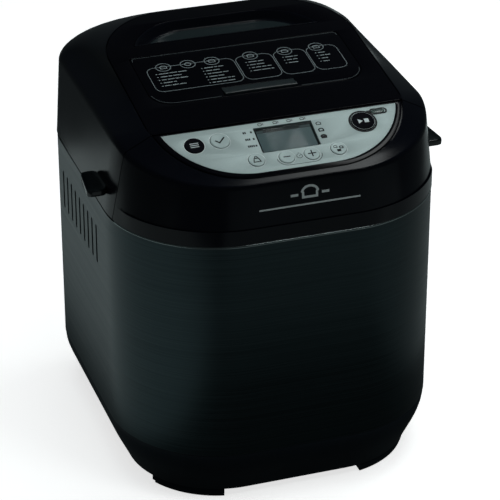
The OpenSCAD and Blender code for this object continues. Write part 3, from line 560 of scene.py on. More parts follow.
def plate(name, outer, holes, z0, z1, place, bevel=0.25):
    """Flat plate with rounded edges and holes, from a filled 2D curve."""
    curve = bpy.data.curves.new(name, "CURVE")
    curve.dimensions = "2D"
    curve.fill_mode = "BOTH"
    curve.extrude = ((z1 - z0) / 2 - bevel) * MM
    curve.bevel_depth = bevel * MM
    curve.bevel_resolution = 2
    curve.offset = -bevel * MM
    for k, loop in enumerate([outer] + list(holes)):
        area = sum(a[0] * b[1] - b[0] * a[1] for a, b in zip(loop, loop[1:] + loop[:1]))
        if (area > 0) == (k > 0):
            loop = loop[::-1]
        spline = curve.splines.new("POLY")
        spline.points.add(len(loop) - 1)
        spline.use_cyclic_u = True
        for point, (x, y) in zip(spline.points, loop):
            point.co = (x * MM, y * MM, 0, 1)
    obj = bake(add_object(name, curve))
    lift = Matrix.Translation((0, 0, (z0 + z1) / 2 * MM))
    turn = place.to_3x3().to_4x4()
    turn.translation = place.translation * MM
    obj.data.transform(turn @ lift)
    tidy_normals(obj, 38)
    return obj


# ---------- printed marks ----------

def stroke(points, width, closed=False):
    """Flat ribbon along a 2D line, as (vertices, faces) with mitred corners."""
    n = len(points)
    verts = []
    for i, p in enumerate(points):
        before = points[(i - 1) % n] if closed or i > 0 else p
        after = points[(i + 1) % n] if closed or i < n - 1 else p
        a = Vector((p[0] - before[0], p[1] - before[1]))
        b = Vector((after[0] - p[0], after[1] - p[1]))
        a = a.normalized() if a.length > 1e-9 else b.normalized()
        b = b.normalized() if b.length > 1e-9 else a
        t = (a + b).normalized() if (a + b).length > 1e-6 else a
        k = width / 2 / max(0.5, t.dot(a))
        verts += [(p[0] - t.y * k, p[1] + t.x * k), (p[0] + t.y * k, p[1] - t.x * k)]
    last = n if closed else n - 1
    faces = [(2 * i, 2 * i + 1, (2 * i + 3) % (2 * n), (2 * i + 2) % (2 * n)) for i in range(last)]
    return verts, faces


def bar(x0, y0, x1, y1):
    return [(x0, y0), (x1, y0), (x1, y1), (x0, y1)], [(0, 1, 2, 3)]


def oval(cx, cy, rx, ry, width, steps=32):
    return stroke(arc(cx, cy, rx, ry, 0, steps, 360)[:-1], width, closed=True)


def loaf_mark(cx, cy, s, width=0.35):
    """Outline of a loaf: flat base, domed top."""
    points = [(cx - s, cy - 0.7 * s), (cx + s, cy - 0.7 * s), (cx + s, cy)]
    points += arc(cx, cy, s * 1.15, s * 0.9, 10, 10, 160) + [(cx - s, cy)]
    return stroke(points, width, closed=True)


def print_marks(name, marks, material, body, place, slot, z=0.0, thick=0.08):
    """Joins flat marks into one thin raised print."""
    verts, faces = [], []
    for mark_verts, mark_faces in marks:
        base = len(verts)
        verts += [place @ Vector((x, y, z + thick)) for x, y in mark_verts]
        faces += [tuple(base + i for i in f) for f in mark_faces]
    obj = add_mesh(name, verts, faces)
    modifier(obj, "SOLIDIFY", thickness=thick * MM, offset=-1)
    bake(obj)
    outward(obj)
    dress(obj, body, material, slot=slot)


# ---------- upper body ----------

def smooth(a, b, x):
    t = max(0.0, min(1.0, (x - a) / (b - a)))
    return t * t * (3 - 2 * t)


def crease_z(y):
    """Height of the crease: level along the sides, falling to the front."""
    front = min(CREASE_TOP, CREASE_FRONT_Z + (y - CREASE_FRONT_Y) * tan(CREASE_SLOPE))
    blend = smooth(*CREASE_BLEND, y)
    return front * (1 - blend) + CREASE_TOP * blend


def rim_z(y):
    return BREAK_Z + (y - BREAK_Y) * tan(PANEL_SLOPE if y < BREAK_Y else LID_SLOPE)


def mix(a, b, t):
    return [p.lerp(q, t) for p, q in zip(a, b)]


def upper_rings(bottom, inset, drop=0.0):
    """Rings of the upper body, from its bottom edge over the crease to the pocket for the insert.

    drop lowers the bottom edge along the sides.
    """
    foot = [Vector((x, y, BAND_Z0)) for x, y in outline(inset, steps=CORNER)]
    crease = [Vector((x, y, crease_z(y) - inset)) for x, y in
              rounded(CREASE_HW - inset, CREASE_FRONT + inset, CREASE_BACK - inset,
                      CREASE_FRONT_R - inset, CREASE_REAR_R - inset, steps=CORNER)]
    front = BREAK_Y - RIM_DEPTH * cos(PANEL_SLOPE) + inset
    back = BREAK_Y + STRIP_LENGTH * cos(LID_SLOPE) - inset
    rim = [Vector((x, y, rim_z(y) - inset)) for x, y in
           rounded(RIM_HW - inset, front, back, RIM_R - inset, STRIP_REAR_R - inset,
                   rfy=(RIM_R - inset) * cos(PANEL_SLOPE), steps=CORNER)]

    hw, y0, y1, rf, rb = SHOULDER
    middle = mix(crease, rim, 0.5)
    full = [Vector((x, y, SHOULDER_Z + SHOULDER_SLOPE * (y - SHOULDER_Y) - inset)) for x, y in
            rounded(hw - inset, y0 + inset, y1 - inset, rf - inset, rb - inset, steps=CORNER)]
    shoulder = [m.lerp(f, smooth(*SHOULDER_BLEND, f.y)) for m, f in zip(middle, full)]
    pull = [h * 2 - m for h, m in zip(shoulder, middle)]

    def arch(start, top, end, t):
        return [a * (1 - t) ** 2 + b * 2 * t * (1 - t) + c * t ** 2 for a, b, c in zip(start, top, end)]

    def over_rim(t):
        return arch(crease, pull, rim, t)

    def at(t, z=None):
        points = mix(foot, crease, t)
        if z is None:
            return points
        straight = [Vector((p.x, p.y, z)) for p in foot]
        return [p.lerp(s, 1 - smooth(*BAND_BLEND, s.y)) for p, s in zip(points, straight)]

    step = (BAND_Z1 - BAND_Z0) / WALL_H
    above = at(step * 1.02)
    rings = [[Vector((p.x, p.y, bottom - drop * smooth(*DROP_BLEND, p.y))) for p in foot]]
    rings += [at(step * 0.5, (BAND_Z0 + BAND_Z1) / 2), at(step * 0.97, BAND_Z1 - 0.4)]
    rings += [mix(at(step, BAND_Z1), above, 0.25), mix(at(step, BAND_Z1 + 0.1), above, 0.9)]
    rings += [at(t) for t in (0.25, 0.45, 0.65, 0.82, 0.92)]
    rings += [arch(at(0.94), crease, over_rim(0.13), t) for t in (0.0, 0.2, 0.4, 0.6, 0.8, 1.0)]
    rings += [over_rim(t) for t in (0.22, 0.34, 0.46, 0.58, 0.7, 0.82, 0.92, 0.98)]
    rings.append([Vector((p.x, p.y, p.z - 0.2)) for p in rim])
    rings.append([Vector((p.x * 0.997, p.y, p.z - 2.0)) for p in rim])
    return rings


def across(rings):
    """Faces that close the last ring from its right half to its left half."""
    ring = rings[-1]
    n = len(ring)
    base = (len(rings) - 1) * n
    front = min(range(n), key=lambda i: (round(abs(ring[i].x), 6), ring[i].y))
    order = [base + (front + k) % n for k in range(n)]
    middle = n // 2
    faces = [(order[k], order[k + 1], order[n - k - 1], order[n - k]) for k in range(1, middle - 1)]
    return faces + [(order[0], order[1], order[n - 1]), (order[middle - 1], order[middle], order[middle + 1])]


def half_solid(rings, gap, behind):
    """Closed solid on one side of the seam plane."""
    verts, faces = loft(rings, close_bottom=True)
    obj = add_mesh("half", verts, faces + across(rings))
    bm = bmesh.new()
    bm.from_mesh(obj.data)
    bmesh.ops.triangulate(bm, faces=[f for f in bm.faces if len(f.verts) > 4])
    normal = Vector((0, cos(LID_SLOPE), sin(LID_SLOPE)))
    place = (BREAK + normal * (gap if behind else -gap)) * MM
    done = bmesh.ops.bisect_plane(bm, geom=[*bm.verts, *bm.edges, *bm.faces], plane_co=place, plane_no=normal,
                                  clear_inner=behind, clear_outer=not behind, dist=1e-7)
    rim = [g for g in done["geom_cut"] if isinstance(g, bmesh.types.BMEdge)]
    bmesh.ops.triangle_fill(bm, edges=rim, use_dissolve=True, normal=normal)
    bm.to_mesh(obj.data)
    bm.free()
    outward(obj, merge=True)
    return obj


def upper_shell(name, bottom, behind):
    """The upper body on one side of the seam as a thin shell, open underneath."""
    obj = half_solid(upper_rings(bottom, 0.0, LID_DROP if behind else 0.0), SEAM_GAP, behind)
    obj.name = name
    return cut(obj, half_solid(upper_rings(bottom - 6, WALL), SEAM_GAP + WALL, behind))


def front_housing():
    obj = upper_shell("front_housing_shell", BAND_Z0, behind=False)
    cut(obj, prism(d_shape(RIM_HW - LEDGE, RIM_DEPTH - LEDGE, RIM_R - 5, 5.6), -30, 20, PANEL))
    round_edges(obj, 0.35, 2, 50)
    dress(obj, "housing", "housing_plastic", "front_housing")


def lid_shell():
    obj = upper_shell("lid_cover", LID_Z0, behind=True)
    cutters = [prism(rounded(*DISPENSER_MOUTH, steps=5, side=2, flat=2), -20, 10, TOP),
               prism(window_outline(-0.2), -30, 10, TOP)]
    for x in KNUCKLES:
        cutters.append(block(x - KNUCKLE_HW, 119, 215, x + KNUCKLE_HW, 139, 234))
    for x0, x1 in ((-150, -110), (110, 150)):
        cutters.append(block(x0, LUG_SLOT_Y[0], LUG_Z + 0.5, x1, LUG_SLOT_Y[1], LUG_Z + 4.8))
    cut(obj, *cutters)
    round_edges(obj, 0.35, 2, 50)
    dress(obj, "lid", "housing_plastic", "lid_shell")


def top_insert():
    """Gloss strip along the lid top, with the openings for the flap and the window."""
    hw, y0, y1, r = FLAP
    obj = plate("gloss_insert", rounded(RIM_HW - 0.9, 0.7, STRIP_LENGTH - 0.6, 3, STRIP_REAR_R),
                [rounded(hw + 0.4, y0 - 0.4, y1 + 0.1, r, 3.0), window_outline(-0.2)], -1.8, 0.0, TOP, 0.3)
    dress(obj, "lid", "gloss_strip", "top_insert")


def dispenser_flap():
    """Flap with slots for its pins, the floor of the grip's recess, and the grip."""
    hw, y0, y1, r = FLAP
    recess = box_outline(-28.3, y0 + 1.7, 28.3, y0 + 12.3, 1.2)
    shape = rounded(hw, y0, y1 - 0.6, r, FLAP_REAR_R)
    flap = plate("dispenser_flap_cover", shape, [recess], -1.7, 0.0, TOP, 0.35)
    for x in (-PIN_X, PIN_X):
        slot = box_outline(x - PIN_SLOT_HW, y1 - 1.75, x + PIN_SLOT_HW, y1 + 1, 0.1)
        cut(flap, prism(slot, -3, PIN_SLOT_Z, TOP))
    dress(flap, "flap", "gloss_strip", "dispenser_flap")
    floor_shape = box_outline(-29.5, y0 + 0.6, 29.5, y0 + 13.5, 1)
    under = plate("flap_recess_floor", floor_shape, [], -1.75, -0.95, TOP, 0.15)
    dress(under, "flap", "gloss_strip")
    steps = 12
    rings = []
    for i in range(steps + 1):
        x = -GRIP_HW + 2 * GRIP_HW * i / steps
        ease = 1 - 0.12 * (abs(x) / GRIP_HW) ** 4
        ring = [TOP @ Vector((x, y0 + GRIP_Y + y, z * ease if z > 0 else z)) for y, z in GRIP_PROFILE]
        rings.append(ring + [TOP @ Vector((x, y0 + GRIP_Y, GRIP_BOTTOM))])
    verts, faces = loft(rings, close_top=True, close_bottom=True)
    grip = add_mesh("flap_grip_tab", verts, faces)
    tidy_normals(grip)
    round_edges(grip, 0.3, 2, 40)
    dress(grip, "flap", "grip_grey", "flap_grip")


def window():
    """Sunk bezel with sloping walls, and the smoked lens under it."""
    def ring(inset, rear, z):
        return [TOP @ Vector((x, y, z)) for x, y in window_outline(inset, rear)]

    rings = [ring(*section) for section in BEZEL]
    verts, faces = loft(rings)
    n = len(rings[0])
    last = (len(rings) - 1) * n
    faces += [(last + i, last + (i + 1) % n, (i + 1) % n, i) for i in range(n)]
    bezel = add_mesh("window_surround", verts, faces)
    tidy_normals(bezel, 40)
    dress(bezel, "lid", "housing_plastic", "window_bezel", slot="black_plastic")
    lens = plate("window_lens", window_outline(2.0), [],
                 -WINDOW_DEEP - 2.6, -WINDOW_DEEP - 0.1, TOP, 0.2)
    dress(lens, "lid", "window_glass", "lid_window")


# Print on the flap: front and back edge; each frame's sides and the middles of its symbols; each column
# of rows with its sides, number of rows and fill
PRINT_Y = (53.5, 86.5)
PRINT_FRAMES = [(-74.5, -7.2, (-60.8, -41.8, -23.2)), (-5.8, 22.7, (6.9,)), (23.9, 48.7, (34.0,)),
                (49.9, 74.0, (59.2,))]
PRINT_COLUMNS = [(-69, -44, 5, 1.0), (-34, -12, 6, 1.0), (0.5, 19, 4, 0.9), (29.5, 42, 3, 0.85),
                 (55.5, 67, 4, 0.85)]


def dash_row(x0, x1, y, seed, height=0.85):
    """A row of short dashes that stands for a line of print."""
    marks = [bar(x0, y, x0 + 1.0, y + height)]
    x = x0 + 2.4
    word = seed
    while x < x1 - 2:
        word = (word * 7 + 3) % 11
        end = min(x1, x + 2.4 + 0.5 * word)
        marks.append(bar(x, y, end, y + height))
        x = end + 0.8
    return marks


def flap_print():
    """Generic frames, symbols and dashes where a list of programmes would be printed."""
    hw, y0, y1, r = FLAP
    low, high = PRINT_Y
    lines = []
    rows = []
    for x0, x1, marks in PRINT_FRAMES:
        lines.append(stroke(box_outline(x0, low, x1, high, 6.0), 0.5, closed=True))
        for k, cx in enumerate(marks):
            lines.append(oval(cx, high - 0.6, 5.6, 5.2, 0.65))
            if k % 2:
                rows.append(oval(cx, high - 0.6, 2.3, 2.0, 0.6))
            else:
                rows.append(loaf_mark(cx, high - 0.8, 2.3, 0.6))
    for c, (x0, x1, count, fill) in enumerate(PRINT_COLUMNS):
        for row in range(count):
            short = (0, 0.25, 0.1, 0.4, 0.15, 0.3, 0.05)[(row + 2 * c) % 7]
            rows += dash_row(x0, x1 - (x1 - x0) * short * fill, high - 9.5 - row * 4.1, row + 3 * c + 1)
    print_marks("flap_frames", lines, "frame_ink", "flap", TOP, "gloss_strip")
    print_marks("flap_rows", rows, "row_ink", "flap", TOP, "gloss_strip")
    rear = [(-hw + 1.5, y1 - 5.0), (-hw + 1.7, y1 - 2.4), (-hw + 3.4, y1 - 1.0)]
    rear += [(-x, y) for x, y in reversed(rear)]
    front_right = arc(hw - r, y0 + r, r - 1.2, r - 1.2, -90, 10, 80)
    front_left = [(-x, y) for x, y in reversed(front_right)]
    edges = [stroke(rear, 0.45), stroke([(31, y0 + 1.2)] + front_right, 0.45),
             stroke(front_left + [(-31, y0 + 1.2)], 0.45)]
    print_marks("flap_edge_line", edges, "grey_line", "flap", TOP, "gloss_strip")


# ---------- control panel ----------

def panel_carrier():
    holes = [circle(x, y, r - 1) for x, y, r in KEYS.values()]
    holes.append(box_outline(LCD[0] + 1.5, LCD[1] + 1.5, LCD[2] - 1.5, LCD[3] - 1.5, 0.5))
    shape = d_shape(RIM_HW - 0.8, RIM_DEPTH - 0.8, RIM_R - 0.4, 0.9)
    base = plate("panel_base", shape, holes, -3.2, -FASCIA_T - 0.05, PANEL, 0.15)
    dress(base, "housing", "gloss_strip", "panel_carrier")
    opening = d_shape(FASCIA_HW + 0.1, FASCIA_DEPTH + 0.1, FASCIA_R, 2.1)
    border = plate("panel_border", shape, [opening], -FASCIA_T - 0.1, 0.0, PANEL, 0.25)
    dress(border, "housing", "gloss_strip")


def fascia():
    holes = [circle(x, y, r + 0.05) for x, y, r in KEYS.values()]
    holes.append(box_outline(*LCD, 0.5))
    holes.append(pill(*LAMP))
    obj = plate("silver_fascia", d_shape(FASCIA_HW, FASCIA_DEPTH, FASCIA_R, 2.2), holes,
                -FASCIA_T, 0.0, PANEL, 0.1)
    dress(obj, "housing", "fascia_silver", "fascia_panel")


def keys():
    """Keys turned about the panel's normal; the profile runs from the middle outwards and down."""
    for node, (x, y, r) in KEYS.items():
        black = node in ("menu_button", "start_button")
        cap = r - 0.1
        profile = [(0.02, 0.66), (cap * 0.35, 0.68), (cap * 0.7, 0.74), (cap * 0.86, 0.82), (cap * 0.93, 0.8),
                   (cap * 0.98, 0.62), (cap, 0.3), (cap, -0.3), (r - 1.2, -0.4), (r - 1.2, -3.5),
                   (r + 0.6, -3.5), (r + 0.6, -4.8), (2.2, -4.8), (2.2, -5.6)]
        rings = [[PANEL @ Vector((px, py, z)) for px, py in circle(x, y, ring, 56)] for ring, z in profile]
        verts, faces = loft(rings, close_top=True, close_bottom=True)
        obj = add_mesh(node + "_cap", verts, faces)
        tidy_normals(obj, 35)
        dress(obj, node.replace("_button", "_key"), "key_black" if black else "key_silver", node)


# Ink and simple pictogram of each key, around the key's middle, in place of the real words
KEY_SIGNS = {
    "menu_button": ("white_ink", [bar(-3.2, y - 0.3, 3.2, y + 0.3) for y in (-1.7, 0, 1.7)]),
    "select_button": ("dark_ink", [stroke([(-3.4, 0.3), (-0.8, -2.2), (3.8, 2.6)], 1.1)]),
    "weight_button": ("dark_ink", [
        stroke([(-2.6, -2.2), (2.6, -2.2), (1.6, 1.2), (-1.6, 1.2)], 0.75, closed=True),
        oval(0, 2.2, 1.0, 0.9, 0.6)]),
    "minus_button": ("dark_ink", [bar(-2.6, -0.45, 2.6, 0.45)]),
    "plus_button": ("dark_ink", [
        bar(-3.1, -0.5, 3.1, 0.5), bar(-0.5, -3.1, 0.5, -0.51), bar(-0.5, 0.51, 0.5, 3.1)]),
    "crust_button": ("dark_ink", [
        loaf_mark(-2.0, 1.6, 1.2, 0.45), loaf_mark(2.2, 0.5, 1.2, 0.7), bar(-1.7, -3.3, 1.2, -1.1)]),
    "start_button": ("white_ink", [
        ([(-3.6, -2.2), (-0.2, 0), (-3.6, 2.2)], [(0, 1, 2)]), bar(1.0, -1.8, 4.4, 1.8),
        oval(0, 0, 8.15, 8.15, 0.7, 64)]),
}


def key_marks():
    for node, (material, marks) in KEY_SIGNS.items():
        body = node.replace("_button", "_key")
        place = PANEL @ Matrix.Translation((*KEYS[node][:2], KEY_MARK_Z))
        print_marks(node.replace("_button", "_mark"), marks, material, body, place, "key_silver")


def panel_print():
    """Marks on the fascia: rings round the keys, level bars and small symbols by the display."""
    lamp_x0, lamp_x1, lamp_y, lamp_r = LAMP
    x, y, r = KEYS["start_button"]
    marks = [oval(x, y, r + 0.9, r + 0.9, 1.4, 64)]
    marks.append(stroke(pill(lamp_x0 - 0.2, lamp_x1 + 0.6, lamp_y, lamp_r + 0.75), 1.3, closed=True))
    marks.append(bar(lamp_x0 - 5, lamp_y - 1.3, lamp_x0 - 1.6, lamp_y + 1.8))
    mx, my, mr = KEYS["minus_button"]
    px, py, pr = KEYS["plus_button"]
    cup = arc(mx, my, mr + 1.5, mr + 1.5, 185, 16, 85) + arc(px, py, pr + 1.5, pr + 1.5, 270, 16, 85)
    marks.append(stroke(cup, 0.4))
    cx, cy = (mx + px) / 2, (my + py) / 2 - 0.4
    dial = arc(cx, cy, 2.0, 2.0, 115, 22, 310)
    marks += [stroke(dial, 0.45), bar(cx - 0.3, cy - 0.2, cx + 0.35, cy + 0.35),
              bar(cx - 0.7, cy + 2.5, cx + 0.7, cy + 2.95), stroke([(cx, cy), (cx + 0.9, cy + 1.0)], 0.35)]
    for k in range(3):
        y = LCD[3] - 4.2 - 6.6 * k
        marks += [bar(LCD[0] - 8.6 + 1.35 * j, y, LCD[0] - 7.6 + 1.35 * j, y + 1.9) for j in range(k + 2)]
        marks.append(bar(LCD[0] - 3.0, y, LCD[0] - 1.7, y + 1.7))
        marks.append(loaf_mark(LCD[2] + 4.5, LCD[3] - 4.2 - 6.4 * k, 1.6, 0.6 + 0.35 * k))
    marks.append(bar(LCD[2] + 3.6, LCD[3] - 17.8, LCD[2] + 5.4, LCD[3] - 16.4))
    top = LCD[3] + 2.6
    for k, x in enumerate((-16.0, -4.5, 6.0, 16.0)):
        marks.append(loaf_mark(x, top, 1.3, 0.5) if k % 2 else oval(x, top, 1.4, 1.2, 0.5))
        marks.append(bar(x + 2.1, top - 0.9, x + 2.6, top + 0.9))
    print_marks("panel_print", marks, "dark_ink", "housing", PANEL, "fascia_silver")


def key_highlight_lines():
    """Fine light line round the keys: a painted highlight along their edges."""
    rings = [key for node, key in KEYS.items() if node != "start_button"]
    marks = [oval(x, y, r + 0.3, r + 0.3, 0.3, 56) for x, y, r in rings]
    # painted highlight: a bright ring just outside each key's edge
    print_marks("key_edge_glints", marks, "key_glint_paint", "housing", PANEL, "fascia_silver", thick=0.04)


def display():
    x0, y0, x1, y1 = LCD
    shape = box_outline(x0 + 0.15, y0 + 0.15, x1 - 0.15, y1 - 0.15, 0.5)
    glass = plate("display_window", shape, [], -FASCIA_T, -0.12, PANEL, 0.1)
    dress(glass, "housing", "clear_lens", "lcd_window")
    shape = box_outline(x0 + 0.4, y0 + 0.4, x1 - 0.4, y1 - 0.4, 0.4)
    screen = plate("display_screen", shape, [], -FASCIA_T - 2.4, -FASCIA_T - 0.4, PANEL, 0.1)
    dress(screen, "housing", "lcd", "lcd_module")
    # Dark band across the top of the screen, with grey tabs on it
    dark_band = [bar(x0 + 0.5, y1 - 4.4, x1 - 0.5, y1 - 0.5)]
    print_marks("display_top_band", dark_band, "shadow_gap", "housing", PANEL, "lcd", -FASCIA_T - 0.39, 0.03)
    tabs = [bar(x0 + 1.2, y1 - 4.1, x0 + 7.0, y1 - 2.2), bar(x1 - 9.5, y1 - 3.9, x1 - 1.4, y1 - 2.2)]
    print_marks("display_tabs", tabs, "grey_ink", "housing", PANEL, "lcd", -FASCIA_T - 0.35, 0.03)


def lamp():
    x0, x1, y, r = LAMP
    obj = plate("indicator_cover", pill(x0, x1, y, r - 0.05), [], -FASCIA_T, 0.05, PANEL, 0.25)
    dress(obj, "housing", "lamp_lens", "indicator_lens")


def front_mark():
    """Small loaf and a plain line on the front wall."""
    place = Matrix.Translation(FRONT_MARK) @ Matrix.Rotation(FRONT_WALL_TILT, 4, "X")
    marks = [loaf_mark(4, 4.4, 5.2, 1.7), bar(-10.5, 2.2, -4.9, 4.0), bar(12.9, 2.2, 18.5, 4.0)]
    marks.append(bar(-34, -5.2, 42, -4.0))
    print_marks("front_mark", marks, "silver_ink", "housing", place, "bright_trim")


# ---------- casing ----------

def metal_wrap():
    z = [WRAP_Z0, WRAP_Z0 + 1.0, WRAP_Z0 + 40, 110, 150, 190, WRAP_Z1 - 1, WRAP_Z1]
    rings = [[Vector((x, y, h)) for x, y in outline(0.4)] for h in z]
    verts, faces = loft(rings)
    obj = add_mesh("metal_casing", verts, faces)
    modifier(obj, "SOLIDIFY", thickness=0.8 * MM, offset=-1, use_even_offset=True)
    bake(obj)
    tidy_normals(obj)
    turn = Matrix.Rotation(radians(90), 4, "Y")
    for i in range(VENT_COUNT):
        y = VENT_Y0 + VENT_PITCH * i
        slot = [(-pz, py) for pz, py in pill(*VENT_Z, y, VENT_R, 8)]
        cut(obj, prism(slot, -140, 140, turn))
    tidy_normals(obj)
    dress(obj, "housing", "dark_metal", "metal_wrap")


def vent_shade_sheets():
    """Dark inner sheets behind the vents, painted shade so that the slots read as deep."""
    for side, x0, x1 in (("left", -121, -119.5), ("right", 119.5, 121)):
        obj = block(x0, -30, 150, x1, 88, 206)
        obj.name = "vent_shade_sheet_" + side
        round_edges(obj, 0.4, 2, 40)
        # painted shade: the near-black colour stands in for the shade deep inside the slots
        dress(obj, "housing", "shadow_gap", slot="black_plastic")


def edge_trim():
    """Bright strip under the front housing."""
    path = [p for p in outline(0.0, steps=36) if p[1] < TRIM_BACK]
    line = sorted(path, key=lambda p: atan2(p[0], -p[1]))
    verts, faces = [], []
    n = len(TRIM_SECTION)
    for i, (x, y) in enumerate(line):
        a = Vector(line[max(i - 1, 0)])
        b = Vector(line[min(i + 1, len(line) - 1)])
        t = (b - a).normalized()
        inward = Vector((-t.y, t.x))
        verts += [(x + inward.x * d, y + inward.y * d, z) for d, z in TRIM_SECTION]
        if i:
            k = (i - 1) * n
            faces += [(k + j, k + (j + 1) % n, k + n + (j + 1) % n, k + n + j) for j in range(n)]
    faces += [tuple(range(n)), tuple(range(len(verts) - n, len(verts)))]
    obj = add_mesh("edge_trim_strip", verts, faces)
    tidy_normals(obj, 50)
    dress(obj, "housing", "bright_trim", "wrap_trim")


def base_tray():
    """Lower shell with the recess for the cord gland's flange."""
    rings = [[Vector((x, y, z)) for x, y in outline(inset)] for z, inset in TRAY]
    verts, faces = loft(rings, close_top=True)
    obj = add_mesh("base_shell", verts, faces)
    tidy_normals(obj)
    modifier(obj, "SOLIDIFY", thickness=2.4 * MM, offset=-1, use_even_offset=True)
    bake(obj)
    tidy_normals(obj, 40)
    rearward = Matrix.Rotation(radians(-90), 4, "X")
    cut(obj, prism(circle(*GLAND, GLAND_R), 100, 140, rearward),
        prism(circle(*GLAND, GLAND_FLANGE_R), 126.5, 140, rearward))
    tidy_normals(obj, 40)
    dress(obj, "housing", "black_plastic", "base_tray")
    for sx in (-1, 1):
        for sy in (-1, 1):
            place = "%s_%s" % ("left" if sx < 0 else "right", "front" if sy < 0 else "rear")
            foot("foot_" + place, sx, sy, FOOT_IN, *FOOT_Z, 0.5, "black_plastic")
            foot("foot_pad_" + place, sx, sy, FOOT_IN + 0.8, *PAD_Z, 0.4, "rubber")
    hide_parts("corner_feet")
    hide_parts("foot_pads")


def foot(name, sx, sy, inset, z0, z1, bevel, material):
    """One corner foot, or its rubber pad, that follows the casing's corner."""
    base = atan2(sy, sx)

    def order(p):
        return (atan2(p[1], p[0]) - base + pi) % (2 * pi)

    def edge(distance, reverse=False):
        points = outline(distance, steps=60, side=60, flat=60)
        corner = [(x, y) for x, y in points if sx * x > FOOT_GAP[sx] and sy * y > FOOT_END[sy]]
        return sorted(corner, key=order, reverse=reverse)

    shape = edge(inset) + edge(FOOT_IN + FOOT_WIDTH, reverse=True)
    return dress(plate(name, shape, [], z0, z1, Matrix(), bevel), "housing", material)


def finger_lugs():
    """Lugs on the lid's sides: dished top, rounded nose."""
    for side, s in (("left", -1), ("right", 1)):
        rings = []
        for z, k in LUG_SECTIONS:
            ring = [LUG_MIDDLE + (Vector(p) - LUG_MIDDLE) * k for p in LUG_PLAN]
            rings.append([Vector((s * p.x, p.y, LUG_Z + z)) for p in ring])
        verts, faces = loft(rings, close_top=True, close_bottom=True)
        obj = add_mesh("finger_lug_" + side, verts, faces)
        modifier(obj, "SUBSURF", levels=2, render_levels=2)
        bake(obj)
        tidy_normals(obj, 60)
        dress(obj, "lid", "lug_plastic", "lid_grips", slot="black_plastic")


# ---------- CAD nodes that keep their own shape ----------

# Radius of the rounded edges
KEPT_BEVEL = {
    "top_deck": 0.5, "oven_liner": 0.15, "lid_liner": 0.15, "bread_pan": 0.25, "pan_handle": 0.15,
    "chassis_frame": 0.3, "bearing_housing": 0.3, "motor_bracket": 0.3, "dispenser_box": 0.3,
    "dispenser_trap": 0.2, "lid_frame": 0.3, "kneading_paddle": 0.5, "large_pulley": 0.2,
    "small_pulley": 0.15, "motor_stator": 0.5, "motor_capacitor": 0.6, "trap_solenoid": 0.4,
    "drive_spindle": 0.2, "cord_gland": 0.4, "power_board": 0.2, "control_board": 0.1, "lid_gasket": 0.2,
}


def kept_nodes():
    """Materials for every CAD node, and rounded edges where it is told in KEPT_BEVEL."""
    slots = {s["node"]: s["material_slot"] for s in frame["record"]["subparts"]}
    for name, obj in CAD.items():
        obj.data.materials.clear()
        obj.data.materials.append(M[slots[name]])
        if name in KEPT_BEVEL:
            modifier(obj, "WELD", merge_threshold=0.00001)
            modifier(obj, "BEVEL", width=KEPT_BEVEL[name] * MM, segments=2, limit_method="ANGLE",
                     angle_limit=radians(35), use_clamp_overlap=True)
            modifier(obj, "WEIGHTED_NORMAL", keep_sharp=True)


# ---------- studio ----------

def area_light(name, place, target, size, power, color=(1, 1, 1), size_y=None):
    light = bpy.data.lights.new(name, "AREA")
    light.shape = "RECTANGLE"
    light.size = size
    light.size_y = size_y or size
    light.energy = power
    light.color = color
    obj = add_object(name, light)
    obj.location = place
    obj.rotation_euler = (Vector(target) - Vector(place)).to_track_quat("-Z", "Y").to_euler()
    obj.visible_camera = False
    return obj


COOL = (0.85, 1, 1)       # colours of the lights
WHITE = (0.95, 1, 1)
LOW_Z = 0.012             # height of the lights that lie on the floor and shine up
# Their names, places, widths, powers and depths
LOW_LIGHTS = [("left_low", -0.42, 0.05, 0.5, 0.7, 1.0), ("right_low", 0.42, 0.0, 0.4, 0.2, 0.8),
              ("front_low", 0.32, -0.7, 0.9, 0.42, 0.7), ("rear_low", 0.32, 0.68, 0.75, 0.3, 0.6)]


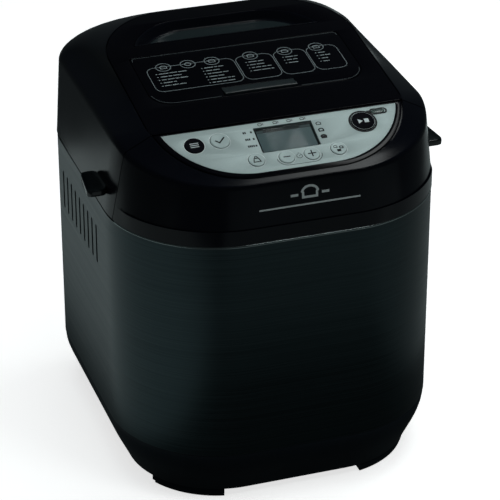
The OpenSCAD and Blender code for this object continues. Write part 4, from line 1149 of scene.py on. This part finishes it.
def studio():
    """Pale floor, a large lamp above, two softboxes and low lights all round."""
    scene = bpy.context.scene
    scene.view_settings.view_transform = "Standard"
    world = bpy.data.worlds.new("studio")
    world.use_nodes = True
    background = world.node_tree.nodes["Background"]
    fill(background, Color=(0.8, 0.97, 1.0, 1), Strength=0.05)
    scene.world = world

    bpy.ops.mesh.primitive_plane_add(size=12, location=(0, 0, 0))
    floor = bpy.context.object
    floor.name = "studio_floor"
    s = Shader("floor_paper", (0.86, 0.86, 0.86), roughness=0.9, Specular_IOR_Level=0.1)
    s.tint(s.noise(3), 0.985, 1.01)
    fill(s.bsdf, Emission_Color=(1, 1, 1, 1), Emission_Strength=0.72)
    floor.data.materials.append(s.mat)
    floor.visible_glossy = False
    floor.visible_diffuse = False

    overhead = area_light("overhead", (0.1, -0.1, 1.9), (0, 0, 0.2), 1.6, 14, (0.94, 1, 1))
    overhead.visible_glossy = False
    area_light("front_softbox", (0.55, -0.90, 1.5), (0.05, -0.1, 0.26), 0.38, 3, WHITE)
    area_light("rim_softbox", (0.60, 0.18, 1.62), (0.03, -0.12, 0.27), 0.45, 2.6, WHITE, 0.28)
    for name, x, y, width, power, depth in LOW_LIGHTS:
        area_light(name, (x, y, LOW_Z), (x, y, 0.5), width, power, COOL, depth)


CAMERA_PLACE = Vector((-0.5256, -1.5603, 1.0279))
CAMERA_BACK = Vector((-0.2822, -0.8347, 0.4730)).normalized()   # from the object towards the camera
CAMERA_LENS = 174.6


def camera():
    """Long lens from the front left, a little above."""
    data = bpy.data.cameras.new("camera")
    data.sensor_width = 36
    data.lens = CAMERA_LENS
    obj = add_object("camera", data)
    obj.location = CAMERA_PLACE
    obj.rotation_euler = CAMERA_BACK.to_track_quat("Z", "Y").to_euler()
    bpy.context.scene.camera = obj


kept_nodes()
metal_wrap()
vent_shade_sheets()
edge_trim()
base_tray()
front_housing()
lid_shell()
top_insert()
dispenser_flap()
flap_print()
window()
panel_carrier()
fascia()
keys()
key_marks()
key_highlight_lines()
panel_print()
front_mark()
display()
lamp()
finger_lugs()
studio()
camera()
